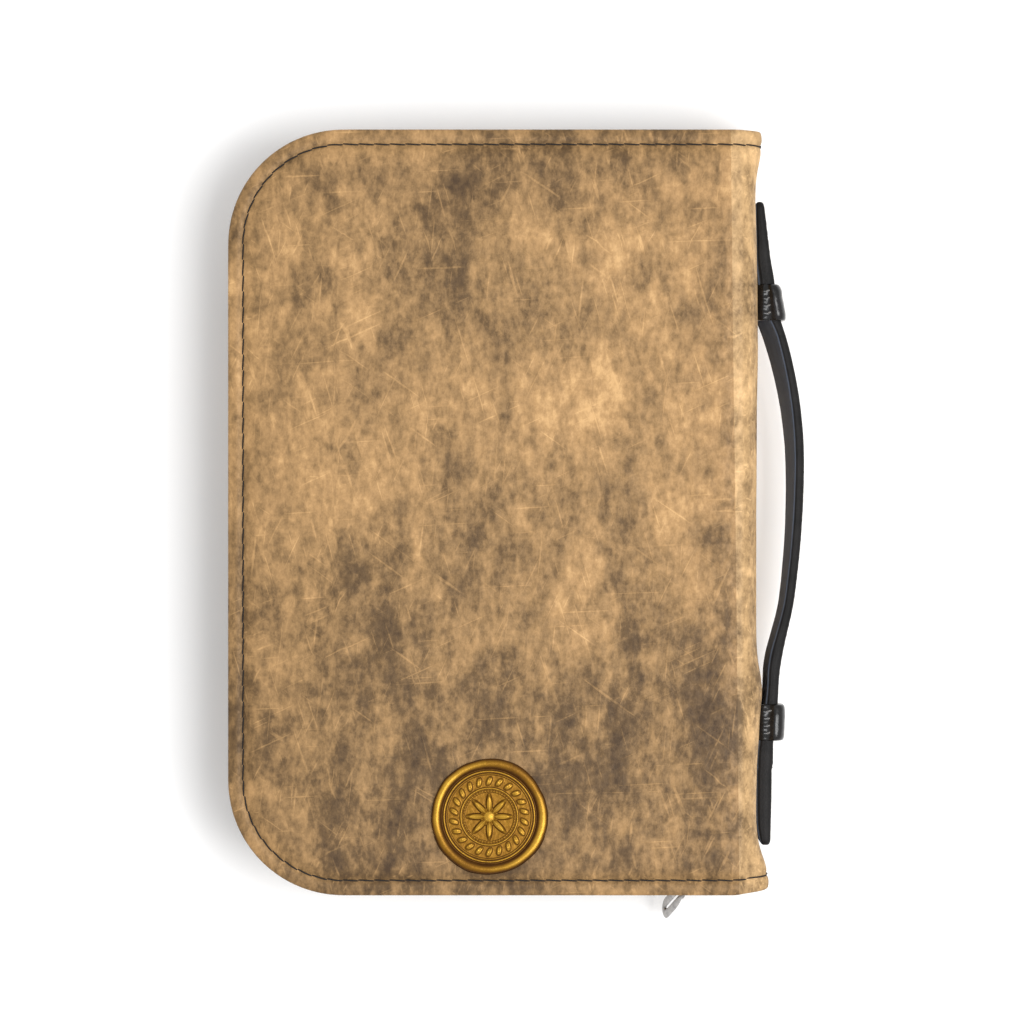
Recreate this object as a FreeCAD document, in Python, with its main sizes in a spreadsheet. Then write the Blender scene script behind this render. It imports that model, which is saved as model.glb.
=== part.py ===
"""A zipped Bible: a thick Bible held inside its zip-round leather case, with a strap handle on the spine.

The case lies on its front cover, back cover up.  +X points from the zipped fore-edge to the spine, +Y to the
head of the book and +Z up.  The origin is the middle of the underside of the case, without handle and puller.
All sizes are millimetres and come from the sheet "dims".
"""
import FreeCAD, Part
import math
import os

import Sketcher
from FreeCAD import Placement, Rotation, Vector

PARTS = "parts"
FRONT, BACK = "front", "back"
SIDES = (FRONT, BACK)
UP = Vector(0, 0, 1)
ALONG = Vector(0, 1, 0)

DRIVING = {
    # case
    "case_length": 270.0, "case_width": 186.0, "case_thick": 50.0, "corner_rad": 40.5,
    "flange": 6.0, "flange_drop": 2.0, "flange_thick": 2.0, "spine_round": 8.0,
    "skin": 1.2, "padding": 2.0, "board": 2.0, "lining": 0.4, "play": 0.3, "spine_board": 1.5,
    # side wall and zip
    "wall_inset": 5.2, "wall": 1.0, "band_height": 9.0, "tape": 0.8, "tape_lap": 3.0, "zip_end": 81.0,
    "teeth_thick": 2.4, "teeth_height": 2.0, "teeth_gap": 1.2, "gusset_start": 82.0,
    "slider_x": 68.0, "slider_long": 11.0, "slider_tall": 8.6, "slider_plate": 1.0, "slider_slot": 3.0,
    "bail_rod": 0.8, "bail_reach": 3.3, "bail_span": 8.4, "foot_height": 2.0, "seam_gap": 0.05,
    "stop_long": 2.2, "stop_over": 0.4, "coil_end_gap": 3.0, "coil_shy": 0.6,
    "puller_long": 22.0, "puller_wide": 8.4, "puller_thick": 1.3, "puller_eye": 2.3, "puller_rim": 1.2,
    "puller_arm": 2.3, "puller_yaw": 53.6, "puller_droop": 59.0, "puller_roll": 53.0,
    # stitching
    "stitch_inset": 5.35, "stitch_pitch": 5.5, "stitch_long": 4.0, "stitch_wide": 0.9,
    "stitch_high": 0.5,
    # Bible
    "page_width": 152.0, "page_length": 229.0, "half_block": 16.0, "page_corner": 7.0,
    "block_spine_x": 84.5, "cover_over": 3.0, "cover_thick": 1.6, "flyleaf": 0.2,
    "sleeve": 0.5, "sleeve_width": 70.0, "sleeve_seam": 6.0, "sleeve_play": 0.21,
    "signatures": 8, "mull": 0.5, "mull_trim": 2.0, "spine_bow": 56.0, "headband_rad": 1.1,
    "ribbon_width": 10.0, "ribbon_thick": 0.2, "ribbon_x": 70.0, "ribbon_tail": 7.0, "ribbon_short": 4.0,
    # pen loop
    "loop_width": 12.0, "loop_height": 11.0, "loop_length": 24.0, "loop_band": 1.0, "loop_y": -30.0,
    "loop_round": 4.0, "loop_inset": 1.6,
    # handle
    "strap_width": 18.0, "strap_apex_x": 109.8, "strap_apex_y": 16.0, "strap_reach": 60.0,
    "strap_upper_rad": 153.0, "strap_lower_rad": 368.0, "strap_leather": 1.4, "strap_core": 1.2,
    "strap_back": 1.0, "strap_droop": 11.0, "strap_play": 0.25, "glue": 0.02, "pivot_x": 95.0,
    "tail_thick": 3.4, "tail_upper_end": 109.0, "tail_lower_end": 118.0, "tail_lift": 3.2,
    "tail_bend_y": 84.0, "tail_round": 5.0, "tail_gap": 0.5,
    "keeper_inner": 68.0, "keeper_tall": 13.0, "keeper_deep": 10.0, "keeper_wall": 1.5,
    "keeper_round": 2.5, "keeper_stand": 0.3,
    # seal
    "seal_x": -0.9, "seal_y": -107.0, "seal_rad": 20.6, "seal_field_rad": 16.4, "seal_base": 0.7,
    "seal_rim": 1.8, "seal_ring": 0.35, "seal_ring_in": 0.9, "seal_star": 0.6,
}

doc = FreeCAD.newDocument("zipped_bible")
dims = doc.addObject("Spreadsheet::Sheet", "dims")
for row, (alias, number) in enumerate(DRIVING.items(), start=1):
    dims.set(f"A{row}", alias)
    dims.set(f"B{row}", str(number))
    dims.setAlias(f"B{row}", alias)
doc.recompute()


class Size:
    """A length with both its number and the sheet expression that it stands for."""

    def __init__(self, value, text):
        self.value = value
        self.text = text

    def _with(self, other, sign, value):
        return Size(value, f"({self.text} {sign} {as_size(other).text})")

    def __add__(self, other):
        return self._with(other, "+", self.value + as_size(other).value)

    def __sub__(self, other):
        return self._with(other, "-", self.value - as_size(other).value)

    def __mul__(self, other):
        return self._with(other, "*", self.value * as_size(other).value)

    def __truediv__(self, other):
        return self._with(other, "/", self.value / as_size(other).value)

    def __neg__(self):
        return Size(-self.value, f"(0 - {self.text})")


def as_size(number):
    return number if isinstance(number, Size) else Size(number, repr(float(number)))


def dim(alias):
    """The named cell of the sheet as a Size."""
    return Size(DRIVING[alias], f"dims.{alias}")


def bind(item, **sizes):
    """Sets properties of a document object and ties them to the sheet."""
    for name, size in sizes.items():
        setattr(item, name, as_size(size).value)
        item.setExpression(name, as_size(size).text)


def place(item, x=0, y=0, z=0, turn=Rotation()):
    """Puts an object at a place that follows the sheet."""
    x, y, z = as_size(x), as_size(y), as_size(z)
    item.Placement = Placement(Vector(x.value, y.value, z.value), turn)
    for axis, size in zip("xyz", (x, y, z)):
        item.setExpression(f"Placement.Base.{axis}", size.text)


# ------------------------------------------------------------------ levels that the case and the book share
THICK = dim("case_thick")
HALF_LENGTH = dim("case_length") / 2
HALF_WIDTH = dim("case_width") / 2
LINING_DEPTH = dim("skin") + dim("padding") + dim("board") + dim("lining")
COVER_DEPTH = LINING_DEPTH + dim("play")
SLEEVE_DEPTH = COVER_DEPTH + dim("cover_thick") + dim("sleeve_play")
FLYLEAF_DEPTH = SLEEVE_DEPTH + dim("sleeve") + dim("play")
BLOCK_DEPTH = FLYLEAF_DEPTH + dim("flyleaf")
FLANGE_DEPTH = dim("flange_drop") + dim("flange_thick")
TAPE_INSET = dim("wall_inset") + dim("wall") + dim("seam_gap")
TAPE_MIDDLE = TAPE_INSET + dim("tape") / 2
FRONT_ROWS_TOP = (THICK - dim("teeth_gap")) / 2
PANEL_SPINE_X = HALF_WIDTH - dim("spine_round")
ZIP_Y = TAPE_MIDDLE - HALF_LENGTH
SLIDER_FACE_Y = ZIP_Y - dim("slider_slot") / 2 - dim("slider_plate")
BAIL_Y = SLIDER_FACE_Y - dim("bail_reach")
KEEPER_FACE_X = HALF_WIDTH + dim("keeper_stand")
TAIL_X = KEEPER_FACE_X + dim("keeper_wall") + dim("strap_play")


def slab_bottom(side, depth, thick):
    """Height of the underside of a layer that starts at a depth below the outer face of its cover."""
    return as_size(depth) if side == FRONT else THICK - depth - thick


# ------------------------------------------------------------------ sketches
def new_body(name):
    body = doc.addObject("PartDesign::Body", name)
    body.Label = name
    return body


def new_sketch(body, plane, offset=0):
    """A sketch on one of the body's own origin planes, moved along the plane's normal."""
    offset = as_size(offset)
    sketch = body.newObject("Sketcher::SketchObject", body.Name + "_sketch")
    support = next(f for f in body.Origin.OriginFeatures if f.Role == plane)
    sketch.AttachmentSupport = (support, [""])
    sketch.MapMode = "FlatFace"
    sketch.AttachmentOffset = Placement(Vector(0, 0, offset.value), Rotation())
    sketch.setExpression("AttachmentOffset.Base.z", offset.text)
    return sketch


def line(sketch, start, end):
    return sketch.addGeometry(Part.LineSegment(Vector(*start, 0), Vector(*end, 0)), False)


def arc(sketch, centre, radius, first, last):
    circle = Part.Circle(Vector(*centre, 0), UP, radius)
    return sketch.addGeometry(Part.ArcOfCircle(circle, math.radians(first), math.radians(last)), False)


def rule(sketch, *terms):
    return sketch.addConstraint(Sketcher.Constraint(*terms))


def measure(sketch, kind, *terms):
    """A constraint whose last term is a Size, tied to the sheet."""
    size = as_size(terms[-1])
    value = math.radians(size.value) if kind == "Angle" else size.value
    index = rule(sketch, kind, *terms[:-1], value)
    name = f"c{index}"
    sketch.renameConstraint(index, name)
    sketch.setExpression(f"Constraints.{name}", size.text + (" * 1 deg" if kind == "Angle" else ""))


def rounded_run(sketch, left, right, half, radius):
    """Tail line, corner, fore-edge line, corner and head line; returns the five geometry numbers."""
    lv, rv, hv, cv = left.value, right.value, half.value, radius.value
    tail = line(sketch, (rv, -hv), (-lv + cv, -hv))
    low = arc(sketch, (-lv + cv, -hv + cv), cv, 180, 270)
    edge = line(sketch, (-lv, -hv + cv), (-lv, hv - cv))
    high = arc(sketch, (-lv + cv, hv - cv), cv, 90, 180)
    head = line(sketch, (-lv + cv, hv), (rv, hv))
    rule(sketch, "Tangent", tail, 2, low, 2)
    rule(sketch, "Tangent", edge, 1, low, 1)
    rule(sketch, "Tangent", edge, 2, high, 2)
    rule(sketch, "Tangent", head, 1, high, 1)
    rule(sketch, "Horizontal", tail)
    rule(sketch, "Horizontal", head)
    rule(sketch, "Vertical", edge)
    rule(sketch, "Equal", low, high)
    measure(sketch, "Radius", low, radius)
    measure(sketch, "DistanceX", edge, 1, -1, 1, left)
    measure(sketch, "DistanceY", -1, 1, head, 2, half)
    measure(sketch, "DistanceY", tail, 1, -1, 1, half)
    return tail, low, edge, high, head


def cover_outline(sketch, left, right, half, radius):
    """Closed outline with two round fore-edge corners and a straight spine side."""
    tail, _, _, _, head = rounded_run(sketch, left, right, half, radius)
    spine = line(sketch, (right.value, half.value), (right.value, -half.value))
    rule(sketch, "Coincident", head, 2, spine, 1)
    rule(sketch, "Coincident", spine, 2, tail, 1)
    rule(sketch, "Vertical", spine)
    measure(sketch, "DistanceX", -1, 1, head, 2, right)


def wall_outline(sketch, left, right, half, radius, thick):
    """Outline of a thin wall that follows three sides of the case and is open at the spine."""
    outer = rounded_run(sketch, left, right, half, radius)
    inner = rounded_run(sketch, left - thick, right, half - thick, radius - thick)
    for end, (a, b) in ((1, (outer[0], inner[0])), (2, (outer[4], inner[4]))):
        sign = -1 if end == 1 else 1
        start = (right.value, sign * half.value)
        cap = line(sketch, start, (right.value, sign * (half - thick).value))
        rule(sketch, "Coincident", a, end, cap, 1)
        rule(sketch, "Coincident", b, end, cap, 2)
        rule(sketch, "Vertical", cap)
        measure(sketch, "DistanceX", -1, 1, a, end, right)


def pad(body, sketch, length, middle=False):
    feature = body.newObject("PartDesign::Pad", body.Name + "_pad")
    feature.Profile = sketch
    bind(feature, Length=length)
    feature.Midplane = middle
    body.Tip = feature
    return feature


def pocket(body, sketch, length, reverse=False):
    """Cuts a pocket and makes sure that it took something away."""
    doc.recompute()
    before = body.Shape.Volume
    feature = body.newObject("PartDesign::Pocket", body.Name + "_pocket")
    feature.Profile = sketch
    bind(feature, Length=length)
    feature.Reversed = reverse
    body.Tip = feature
    doc.recompute()
    if body.Shape.Volume > before - 1:
        raise RuntimeError(f"{body.Name}: the pocket cut nothing")
    return feature


def fillet_edges(body, radius, wanted):
    """Rounds the edges of the body's tip for which wanted(edge) is true."""
    doc.recompute()
    base = body.Tip
    names = [f"Edge{i}" for i, edge in enumerate(base.Shape.Edges, start=1) if wanted(edge)]
    feature = body.newObject("PartDesign::Fillet", body.Name + "_fillet")
    feature.Base = (base, names)
    bind(feature, Radius=radius)
    body.Tip = feature
    doc.recompute()


def plate(name, left, right, half, radius, bottom, thick):
    """A flat sheet with the book's outline: board, padding, lining, leaf or cover."""
    body = new_body(name)
    sketch = new_sketch(body, "XY_Plane", bottom)
    cover_outline(sketch, as_size(left), as_size(right), as_size(half), as_size(radius))
    pad(body, sketch, thick)
    return body


def wall(name, inset, thick, right, bottom, height):
    """A thin upright wall along the three zipped sides; its outer face stands in from the case's outline."""
    body = new_body(name)
    sketch = new_sketch(body, "XY_Plane", bottom)
    wall_outline(sketch, HALF_WIDTH - inset, as_size(right), HALF_LENGTH - inset,
                 dim("corner_rad") - inset, as_size(thick))
    pad(body, sketch, height)
    return body


# ------------------------------------------------------------------ Part primitives
def box(name, size, corner):
    item = doc.addObject("Part::Box", name)
    item.Label = name
    bind(item, Length=size[0], Width=size[1], Height=size[2])
    place(item, *corner)
    return item


def cylinder(name, radius, height, base, axis=UP):
    item = doc.addObject("Part::Cylinder", name)
    item.Label = name
    bind(item, Radius=radius, Height=height)
    place(item, *base, Rotation(UP, axis))
    return item


def combine(kind, name, *items):
    """Part::Cut, Part::Common or Part::MultiFuse of document objects."""
    result = doc.addObject(kind, name)
    result.Label = name
    if kind == "Part::MultiFuse":
        result.Shapes = list(items)
    else:
        result.Base, result.Tool = items
    return result


# ------------------------------------------------------------------ case covers
def cover_skin(side):
    """Leather of one cover: a padded field, a lower sewn flange and a round lip towards the spine."""
    outer_z = slab_bottom(side, 0, 0)
    body = new_body(f"{side}_cover_leather")
    flange = new_sketch(body, "XY_Plane", slab_bottom(side, dim("flange_drop"), dim("flange_thick")))
    cover_outline(flange, HALF_WIDTH, PANEL_SPINE_X, HALF_LENGTH, dim("corner_rad"))
    pad(body, flange, dim("flange_thick"))

    field = new_sketch(body, "XY_Plane", slab_bottom(side, 0, FLANGE_DEPTH))
    inset = dim("flange")
    cover_outline(field, HALF_WIDTH - inset, PANEL_SPINE_X, HALF_LENGTH - inset, dim("corner_rad") - inset)
    pad(body, field, FLANGE_DEPTH)
    fillet_edges(body, dim("flange_drop") * 0.8, lambda e: on_field_rim(e, outer_z.value))

    lip = new_sketch(body, "XZ_Plane")
    spine_arc(lip, side, 45, 90)
    pad(body, lip, HALF_LENGTH * 2 - dim("flange") * 2, middle=True)

    hollow = new_sketch(body, "XY_Plane", slab_bottom(side, FLANGE_DEPTH, 0))
    inset = dim("flange") + dim("skin")
    cover_outline(hollow, HALF_WIDTH - inset, PANEL_SPINE_X - dim("skin"), HALF_LENGTH - inset,
                  dim("corner_rad") - inset)
    pocket(body, hollow, FLANGE_DEPTH - dim("skin"), reverse=(side == BACK))
    return body


def on_field_rim(edge, z):
    """True for the edges that bound the padded field, apart from its spine side."""
    bounds = edge.BoundBox
    level = abs(bounds.ZMin - z) < 0.01 and abs(bounds.ZMax - z) < 0.01
    return level and bounds.XMin < PANEL_SPINE_X.value - 1


def spine_arc(sketch, side, first, last):
    """Closed section of the round leather edge; angles run from the spine's face up to the cover."""
    flip = 1 if side == BACK else -1
    centre = (PANEL_SPINE_X.value, (THICK / 2).value + flip * ((THICK / 2) - dim("spine_round")).value)
    span = (first, last) if side == BACK else (-last, -first)
    radii = (dim("spine_round"), dim("spine_round") - dim("skin"))
    arcs = [arc(sketch, centre, r.value, *span) for r in radii]
    ends = []
    for end, angle in ((1, span[0]), (2, span[1])):
        points = [polar(centre, r.value, angle) for r in radii]
        cap = line(sketch, *points)
        rule(sketch, "Coincident", arcs[0], end, cap, 1)
        rule(sketch, "Coincident", arcs[1], end, cap, 2)
        ends.append(cap)
    rule(sketch, "Coincident", arcs[0], 3, arcs[1], 3)
    for index, radius in zip(arcs, radii):
        measure(sketch, "Radius", index, radius)
        measure(sketch, "Angle", index, Size(last - first, repr(float(last - first))))
    measure(sketch, "DistanceX", -1, 1, arcs[0], 3, PANEL_SPINE_X)
    height = dim("spine_round") if side == FRONT else THICK - dim("spine_round")
    measure(sketch, "DistanceY", -1, 1, arcs[0], 3, height)
    upright_end, level_end = (ends[1], ends[0]) if side == BACK else (ends[0], ends[1])
    if last == 90:
        rule(sketch, "Vertical", upright_end)
    else:
        rule(sketch, "Horizontal", level_end)


def polar(centre, radius, angle):
    a = math.radians(angle)
    return centre[0] + radius * math.cos(a), centre[1] + radius * math.sin(a)


def cover_layers(side):
    """Padding, board and lining of one cover."""
    step = 0.2
    layers = (("padding", dim("skin"), dim("padding")),
              ("board", dim("skin") + dim("padding"), dim("board")),
              ("lining", LINING_DEPTH - dim("lining"), dim("lining")))
    for number, (name, depth, thick) in enumerate(layers):
        gap = dim("skin") + dim("play") + number * step
        inset = dim("flange") + gap
        plate(f"{side}_cover_{name}", HALF_WIDTH - inset, PANEL_SPINE_X - gap, HALF_LENGTH - inset,
              dim("corner_rad") - inset, slab_bottom(side, depth, thick), thick)


def sleeve(side):
    """Pocket on the lining that the Bible's own cover slides into, open towards the spine."""
    inset = dim("flange") + dim("skin") + 0.8
    deep = SLEEVE_DEPTH + dim("sleeve") - LINING_DEPTH
    right = dim("sleeve_width") - HALF_WIDTH
    body = new_body(f"{side}_pocket_sleeve")
    sketch = new_sketch(body, "XY_Plane", slab_bottom(side, LINING_DEPTH, deep))
    left = HALF_WIDTH - inset
    sleeve_outline(sketch, left, right, HALF_LENGTH - inset, dim("corner_rad") - inset)
    pad(body, sketch, deep)
    edge = dim("sleeve_seam")
    cavity = new_sketch(body, "XY_Plane", slab_bottom(side, LINING_DEPTH, 0))
    sleeve_outline(cavity, left - edge, right + 1, HALF_LENGTH - inset - edge,
                   dim("corner_rad") - inset - edge)
    pocket(body, cavity, SLEEVE_DEPTH - LINING_DEPTH, reverse=(side == FRONT))
    return body


def sleeve_outline(sketch, left, right, half, radius):
    """Outline like a cover's whose spine side lies on the fore-edge side of the origin."""
    tail, _, _, _, head = rounded_run(sketch, left, right, half, radius)
    spine = line(sketch, (right.value, half.value), (right.value, -half.value))
    rule(sketch, "Coincident", head, 2, spine, 1)
    rule(sketch, "Coincident", spine, 2, tail, 1)
    rule(sketch, "Vertical", spine)
    measure(sketch, "DistanceX", head, 2, -1, 1, -right)


def run_point(travelled, inset):
    """Point and heading at a distance along the sewn run: tail, corner, fore-edge, corner, head."""
    radius = DRIVING["corner_rad"] - inset
    left, half = inset - HALF_WIDTH.value, HALF_LENGTH.value - inset
    straight = PANEL_SPINE_X.value - left - radius
    bend = radius * math.pi / 2
    upright = (half - radius) * 2
    if travelled < straight:
        return Vector(PANEL_SPINE_X.value - travelled, -half, 0), 180
    travelled -= straight
    if travelled < bend:
        angle = 90 * travelled / bend
        x, y = polar((left + radius, radius - half), radius, 270 - angle)
        return Vector(x, y, 0), 180 - angle
    travelled -= bend
    if travelled < upright:
        return Vector(left, radius - half + travelled, 0), 90
    travelled -= upright
    if travelled < bend:
        angle = 90 * travelled / bend
        x, y = polar((left + radius, half - radius), radius, 180 - angle)
        return Vector(x, y, 0), 90 - angle
    return Vector(left + radius + travelled - bend, half, 0), 0


def stitching(side):
    """Row of separate stitches that lie on the flange, beside the padded field."""
    size = {part: DRIVING["stitch_" + part] for part in ("inset", "pitch", "long", "wide", "high")}
    radius = DRIVING["corner_rad"] - size["inset"]
    run = (2 * (PANEL_SPINE_X + HALF_WIDTH).value - 2 * size["inset"] - 4 * radius + math.pi * radius
           + 2 * (HALF_LENGTH.value - size["inset"]))
    bottom = slab_bottom(side, dim("flange_drop") - dim("stitch_high"), dim("stitch_high")).value
    stitches = []
    for number in range(int(run / size["pitch"])):
        point, heading = run_point((number + 0.5) * size["pitch"], size["inset"])
        stitch = Part.makeBox(size["long"], size["wide"], size["high"],
                              Vector(-size["long"] / 2, -size["wide"] / 2, bottom))
        stitch.Placement = Placement(point, Rotation(UP, heading)) * stitch.Placement
        stitches.append(stitch)
    row = doc.addObject("Part::Feature", f"{side}_stitching")
    row.Label = f"{side}_stitching"
    row.Shape = Part.makeCompound(stitches)


# ------------------------------------------------------------------ side wall and zip
def side_wall(side):
    """Leather band below the flange and zip tape of one cover, lapped behind the band."""
    band = dim("band_height")
    wall(f"{side}_side_band", dim("wall_inset"), dim("wall"), dim("zip_end"),
         slab_bottom(side, FLANGE_DEPTH, band), band)
    start = FLANGE_DEPTH + band - dim("tape_lap")
    tall = FRONT_ROWS_TOP - dim("coil_shy") - start
    wall(f"{side}_zip_tape", TAPE_INSET, dim("tape"), dim("zip_end"), slab_bottom(side, start, tall), tall)


def teeth_row(side):
    """Coil row gripping the edge of the tape: a bar outside and a bar inside, joined over the tape's edge."""
    bottom = slab_bottom(side, FRONT_ROWS_TOP - dim("teeth_height"), dim("teeth_height"))
    row = wall(f"{side}_zip_coil_solid", TAPE_MIDDLE - dim("teeth_thick") / 2, dim("teeth_thick"),
               dim("zip_end") - dim("coil_end_gap"), bottom, dim("teeth_height"))
    tape = doc.getObject(f"{side}_zip_tape")
    return combine("Part::Cut", f"{side}_zip_coil", row, tape)


def zip_stops(side):
    """Metal stops clamped over the ends of one coil row, at the tail and at the head."""
    bottom = slab_bottom(side, FRONT_ROWS_TOP - dim("teeth_height"), dim("teeth_height"))
    thick, long = dim("teeth_thick") + dim("stop_over"), dim("stop_long")
    x = dim("zip_end") - long - dim("stop_over")
    stops = []
    for end, sign in (("tail", -1), ("head", 1)):
        y = (HALF_LENGTH - TAPE_MIDDLE) * sign - thick / 2
        stops.append(box(f"{side}_stop_{end}", (long, thick, dim("teeth_height")), (x, y, bottom)))
    both = combine("Part::MultiFuse", f"{side}_zip_stops_solid", *stops)
    tape = doc.getObject(f"{side}_zip_tape")
    return combine("Part::Cut", f"{side}_zip_stops", both, tape)


def slider():
    """Zip slider on the tail side: two plates, wedge and guides between them, and the puller's bail."""
    long, tall, thick, slot = (dim("slider_" + part) for part in ("long", "tall", "plate", "slot"))
    start = dim("slider_x") - long / 2
    base = (THICK - tall) / 2
    sunk = dim("seam_gap")
    outer = box("slider_outer", (long, thick, tall), (start, SLIDER_FACE_Y, base))
    inner = box("slider_inner", (long, thick, tall), (start, ZIP_Y + slot / 2, base))
    wedge_tall = dim("teeth_gap") / 2
    wedge = box("slider_wedge", (long * 0.22, slot + sunk * 2, wedge_tall),
                (start + long * 0.76, ZIP_Y - slot / 2 - sunk, (THICK - wedge_tall) / 2))
    guide = (slot - dim("tape")) / 2 - dim("play")
    guide_tall = 0.8
    lips = [box(f"slider_lip_{name}", (long, guide, guide_tall), (start, y, base))
            for name, y in (("outer", ZIP_Y - slot / 2 - sunk), ("inner", ZIP_Y + slot / 2 - guide + sunk))]

    rod, foot = dim("bail_rod"), dim("foot_height")
    ends = dim("bail_span") / 2
    feet = [box(f"slider_foot_{name}", (rod * 2, dim("bail_reach") + rod + sunk, foot),
                (dim("slider_x") + x, BAIL_Y - rod, (THICK - foot) / 2))
            for name, x in (("fore", -ends), ("aft", ends - rod * 2))]
    bar = cylinder("slider_bar", rod, dim("bail_span") - rod, (dim("slider_x") - ends + rod / 2, BAIL_Y, THICK / 2),
                   Vector(1, 0, 0))
    combine("Part::MultiFuse", "zip_slider", outer, inner, wedge, *lips, *feet, bar)


def puller():
    """Loop puller: an eye round the slider's bail and two arms that meet in a round end."""
    long, wide, thick, eye, rim = (dim("puller_" + part) for part in ("long", "wide", "thick", "eye", "rim"))
    eye_x = eye - dim("bail_rod") - dim("play")
    end_rad = wide / 2
    tip_x = long - end_rad
    body = new_body("zip_puller")
    sketch = new_sketch(body, "XY_Plane", -thick / 2)
    circle_outline(sketch, eye_x, eye + rim, tip_x, end_rad)
    pad(body, sketch, thick)
    holes = new_sketch(body, "XY_Plane", thick / 2)
    ring = holes.addGeometry(Part.Circle(Vector(eye_x.value, 0, 0), UP, eye.value), False)
    rule(holes, "PointOnObject", ring, 3, -1)
    measure(holes, "DistanceX", -1, 1, ring, 3, eye_x)
    measure(holes, "Radius", ring, eye)
    slit = wide / 2 - dim("puller_arm")
    circle_outline(holes, eye_x + eye + rim + slit, slit * 0.7, tip_x, slit)
    pocket(body, holes, thick)
    soft_edge = 0.3
    fillet_edges(body, soft_edge, lambda e: e.BoundBox.ZLength < 0.01 and e.Length > 4)
    turn = (Rotation(UP, 180 + DRIVING["puller_yaw"])
            * Rotation(ALONG, DRIVING["puller_droop"])
            * Rotation(Vector(1, 0, 0), DRIVING["puller_roll"]))
    place(body, dim("slider_x"), BAIL_Y, THICK / 2, turn)


def circle_outline(sketch, x1, rad1, x2, rad2):
    """Closed outline of two round ends on the X axis joined by straight sides."""
    x1, rad1, x2, rad2 = (as_size(v) for v in (x1, rad1, x2, rad2))
    first = arc(sketch, (x1.value, 0), rad1.value, 90, 270)
    last = arc(sketch, (x2.value, 0), rad2.value, -90, 90)
    top = line(sketch, (x1.value, rad1.value), (x2.value, rad2.value))
    low = line(sketch, (x1.value, -rad1.value), (x2.value, -rad2.value))
    rule(sketch, "Tangent", first, 1, top, 1)
    rule(sketch, "Tangent", last, 2, top, 2)
    rule(sketch, "Tangent", first, 2, low, 1)
    rule(sketch, "Tangent", last, 1, low, 2)
    for index, x, radius in ((first, x1, rad1), (last, x2, rad2)):
        rule(sketch, "PointOnObject", index, 3, -1)
        measure(sketch, "DistanceX", -1, 1, index, 3, x)
        measure(sketch, "Radius", index, radius)


# ------------------------------------------------------------------ spine of the case
def spine_leather():
    """Outer leather of the spine: flat face with two round edges that meet the covers."""
    length = dim("case_length") - 1
    pieces = []
    for side in SIDES:
        body = new_body(f"spine_edge_{side}")
        sketch = new_sketch(body, "XZ_Plane")
        spine_arc(sketch, side, 0, 44)
        pad(body, sketch, length, middle=True)
        pieces.append(body)
    face = box("spine_face", (dim("skin"), length, THICK - dim("spine_round") * 2),
               (HALF_WIDTH - dim("skin"), -length / 2, dim("spine_round")))
    return combine("Part::MultiFuse", "spine_leather", face, *pieces)


def spine_layers():
    """Board and lining inside the spine, and the two gussets that close the wall beside the zip."""
    tall = THICK - dim("spine_round") * 2
    x = HALF_WIDTH - dim("skin")
    half = HALF_LENGTH - dim("flange") - 2
    for name, thick in (("board", dim("spine_board")), ("lining", dim("lining"))):
        x = x - thick
        box(f"spine_{name}", (thick, half * 2, tall), (x, -half, dim("spine_round")))
    reach = HALF_WIDTH - dim("skin") - dim("gusset_start")
    outer_y = HALF_LENGTH - dim("wall_inset")
    for end, y in (("tail", -outer_y), ("head", outer_y - dim("wall"))):
        box(f"spine_gusset_{end}", (reach, dim("wall"), tall), (dim("gusset_start"), y, dim("spine_round")))


# ------------------------------------------------------------------ the Bible
BLOCK_LEFT = dim("page_width") - dim("block_spine_x")


def bible_half(side):
    """Cover, flyleaf and gathered signatures of one half of the book."""
    over, leaf_half = dim("cover_over"), dim("page_length") / 2
    plate(f"{side}_bible_cover", BLOCK_LEFT + over, dim("block_spine_x") - dim("play") * 2, leaf_half + over,
          dim("page_corner") + over, slab_bottom(side, COVER_DEPTH, dim("cover_thick")), dim("cover_thick"))
    plate(f"{side}_flyleaf", BLOCK_LEFT, dim("block_spine_x") - dim("flyleaf"), leaf_half, dim("page_corner"),
          slab_bottom(side, FLYLEAF_DEPTH, dim("flyleaf")), dim("flyleaf"))
    thick = dim("half_block") / dim("signatures")
    first = slab_bottom(side, BLOCK_DEPTH, dim("half_block"))
    gathered = []
    for number in range(int(DRIVING["signatures"])):
        bottom = first + thick * number
        gathered.append(plate(f"{side}_signature_{number + 1}", BLOCK_LEFT, dim("block_spine_x"), leaf_half,
                              dim("page_corner"), bottom, thick - dim("glue")))
    compound(f"{side}_text_block", gathered)
    rad = dim("headband_rad")
    bands = [cylinder(f"{side}_headband_{end}", rad, dim("half_block"),
                      (dim("block_spine_x") - rad * 1.5, (leaf_half + rad + dim("flyleaf")) * sign, first))
             for end, sign in (("tail", -1), ("head", 1))]
    compound(f"{side}_headbands", bands)


def compound(name, items):
    """One node that holds several separate solids."""
    group = doc.addObject("Part::Compound", name)
    group.Label = name
    group.Links = items
    return group


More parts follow.
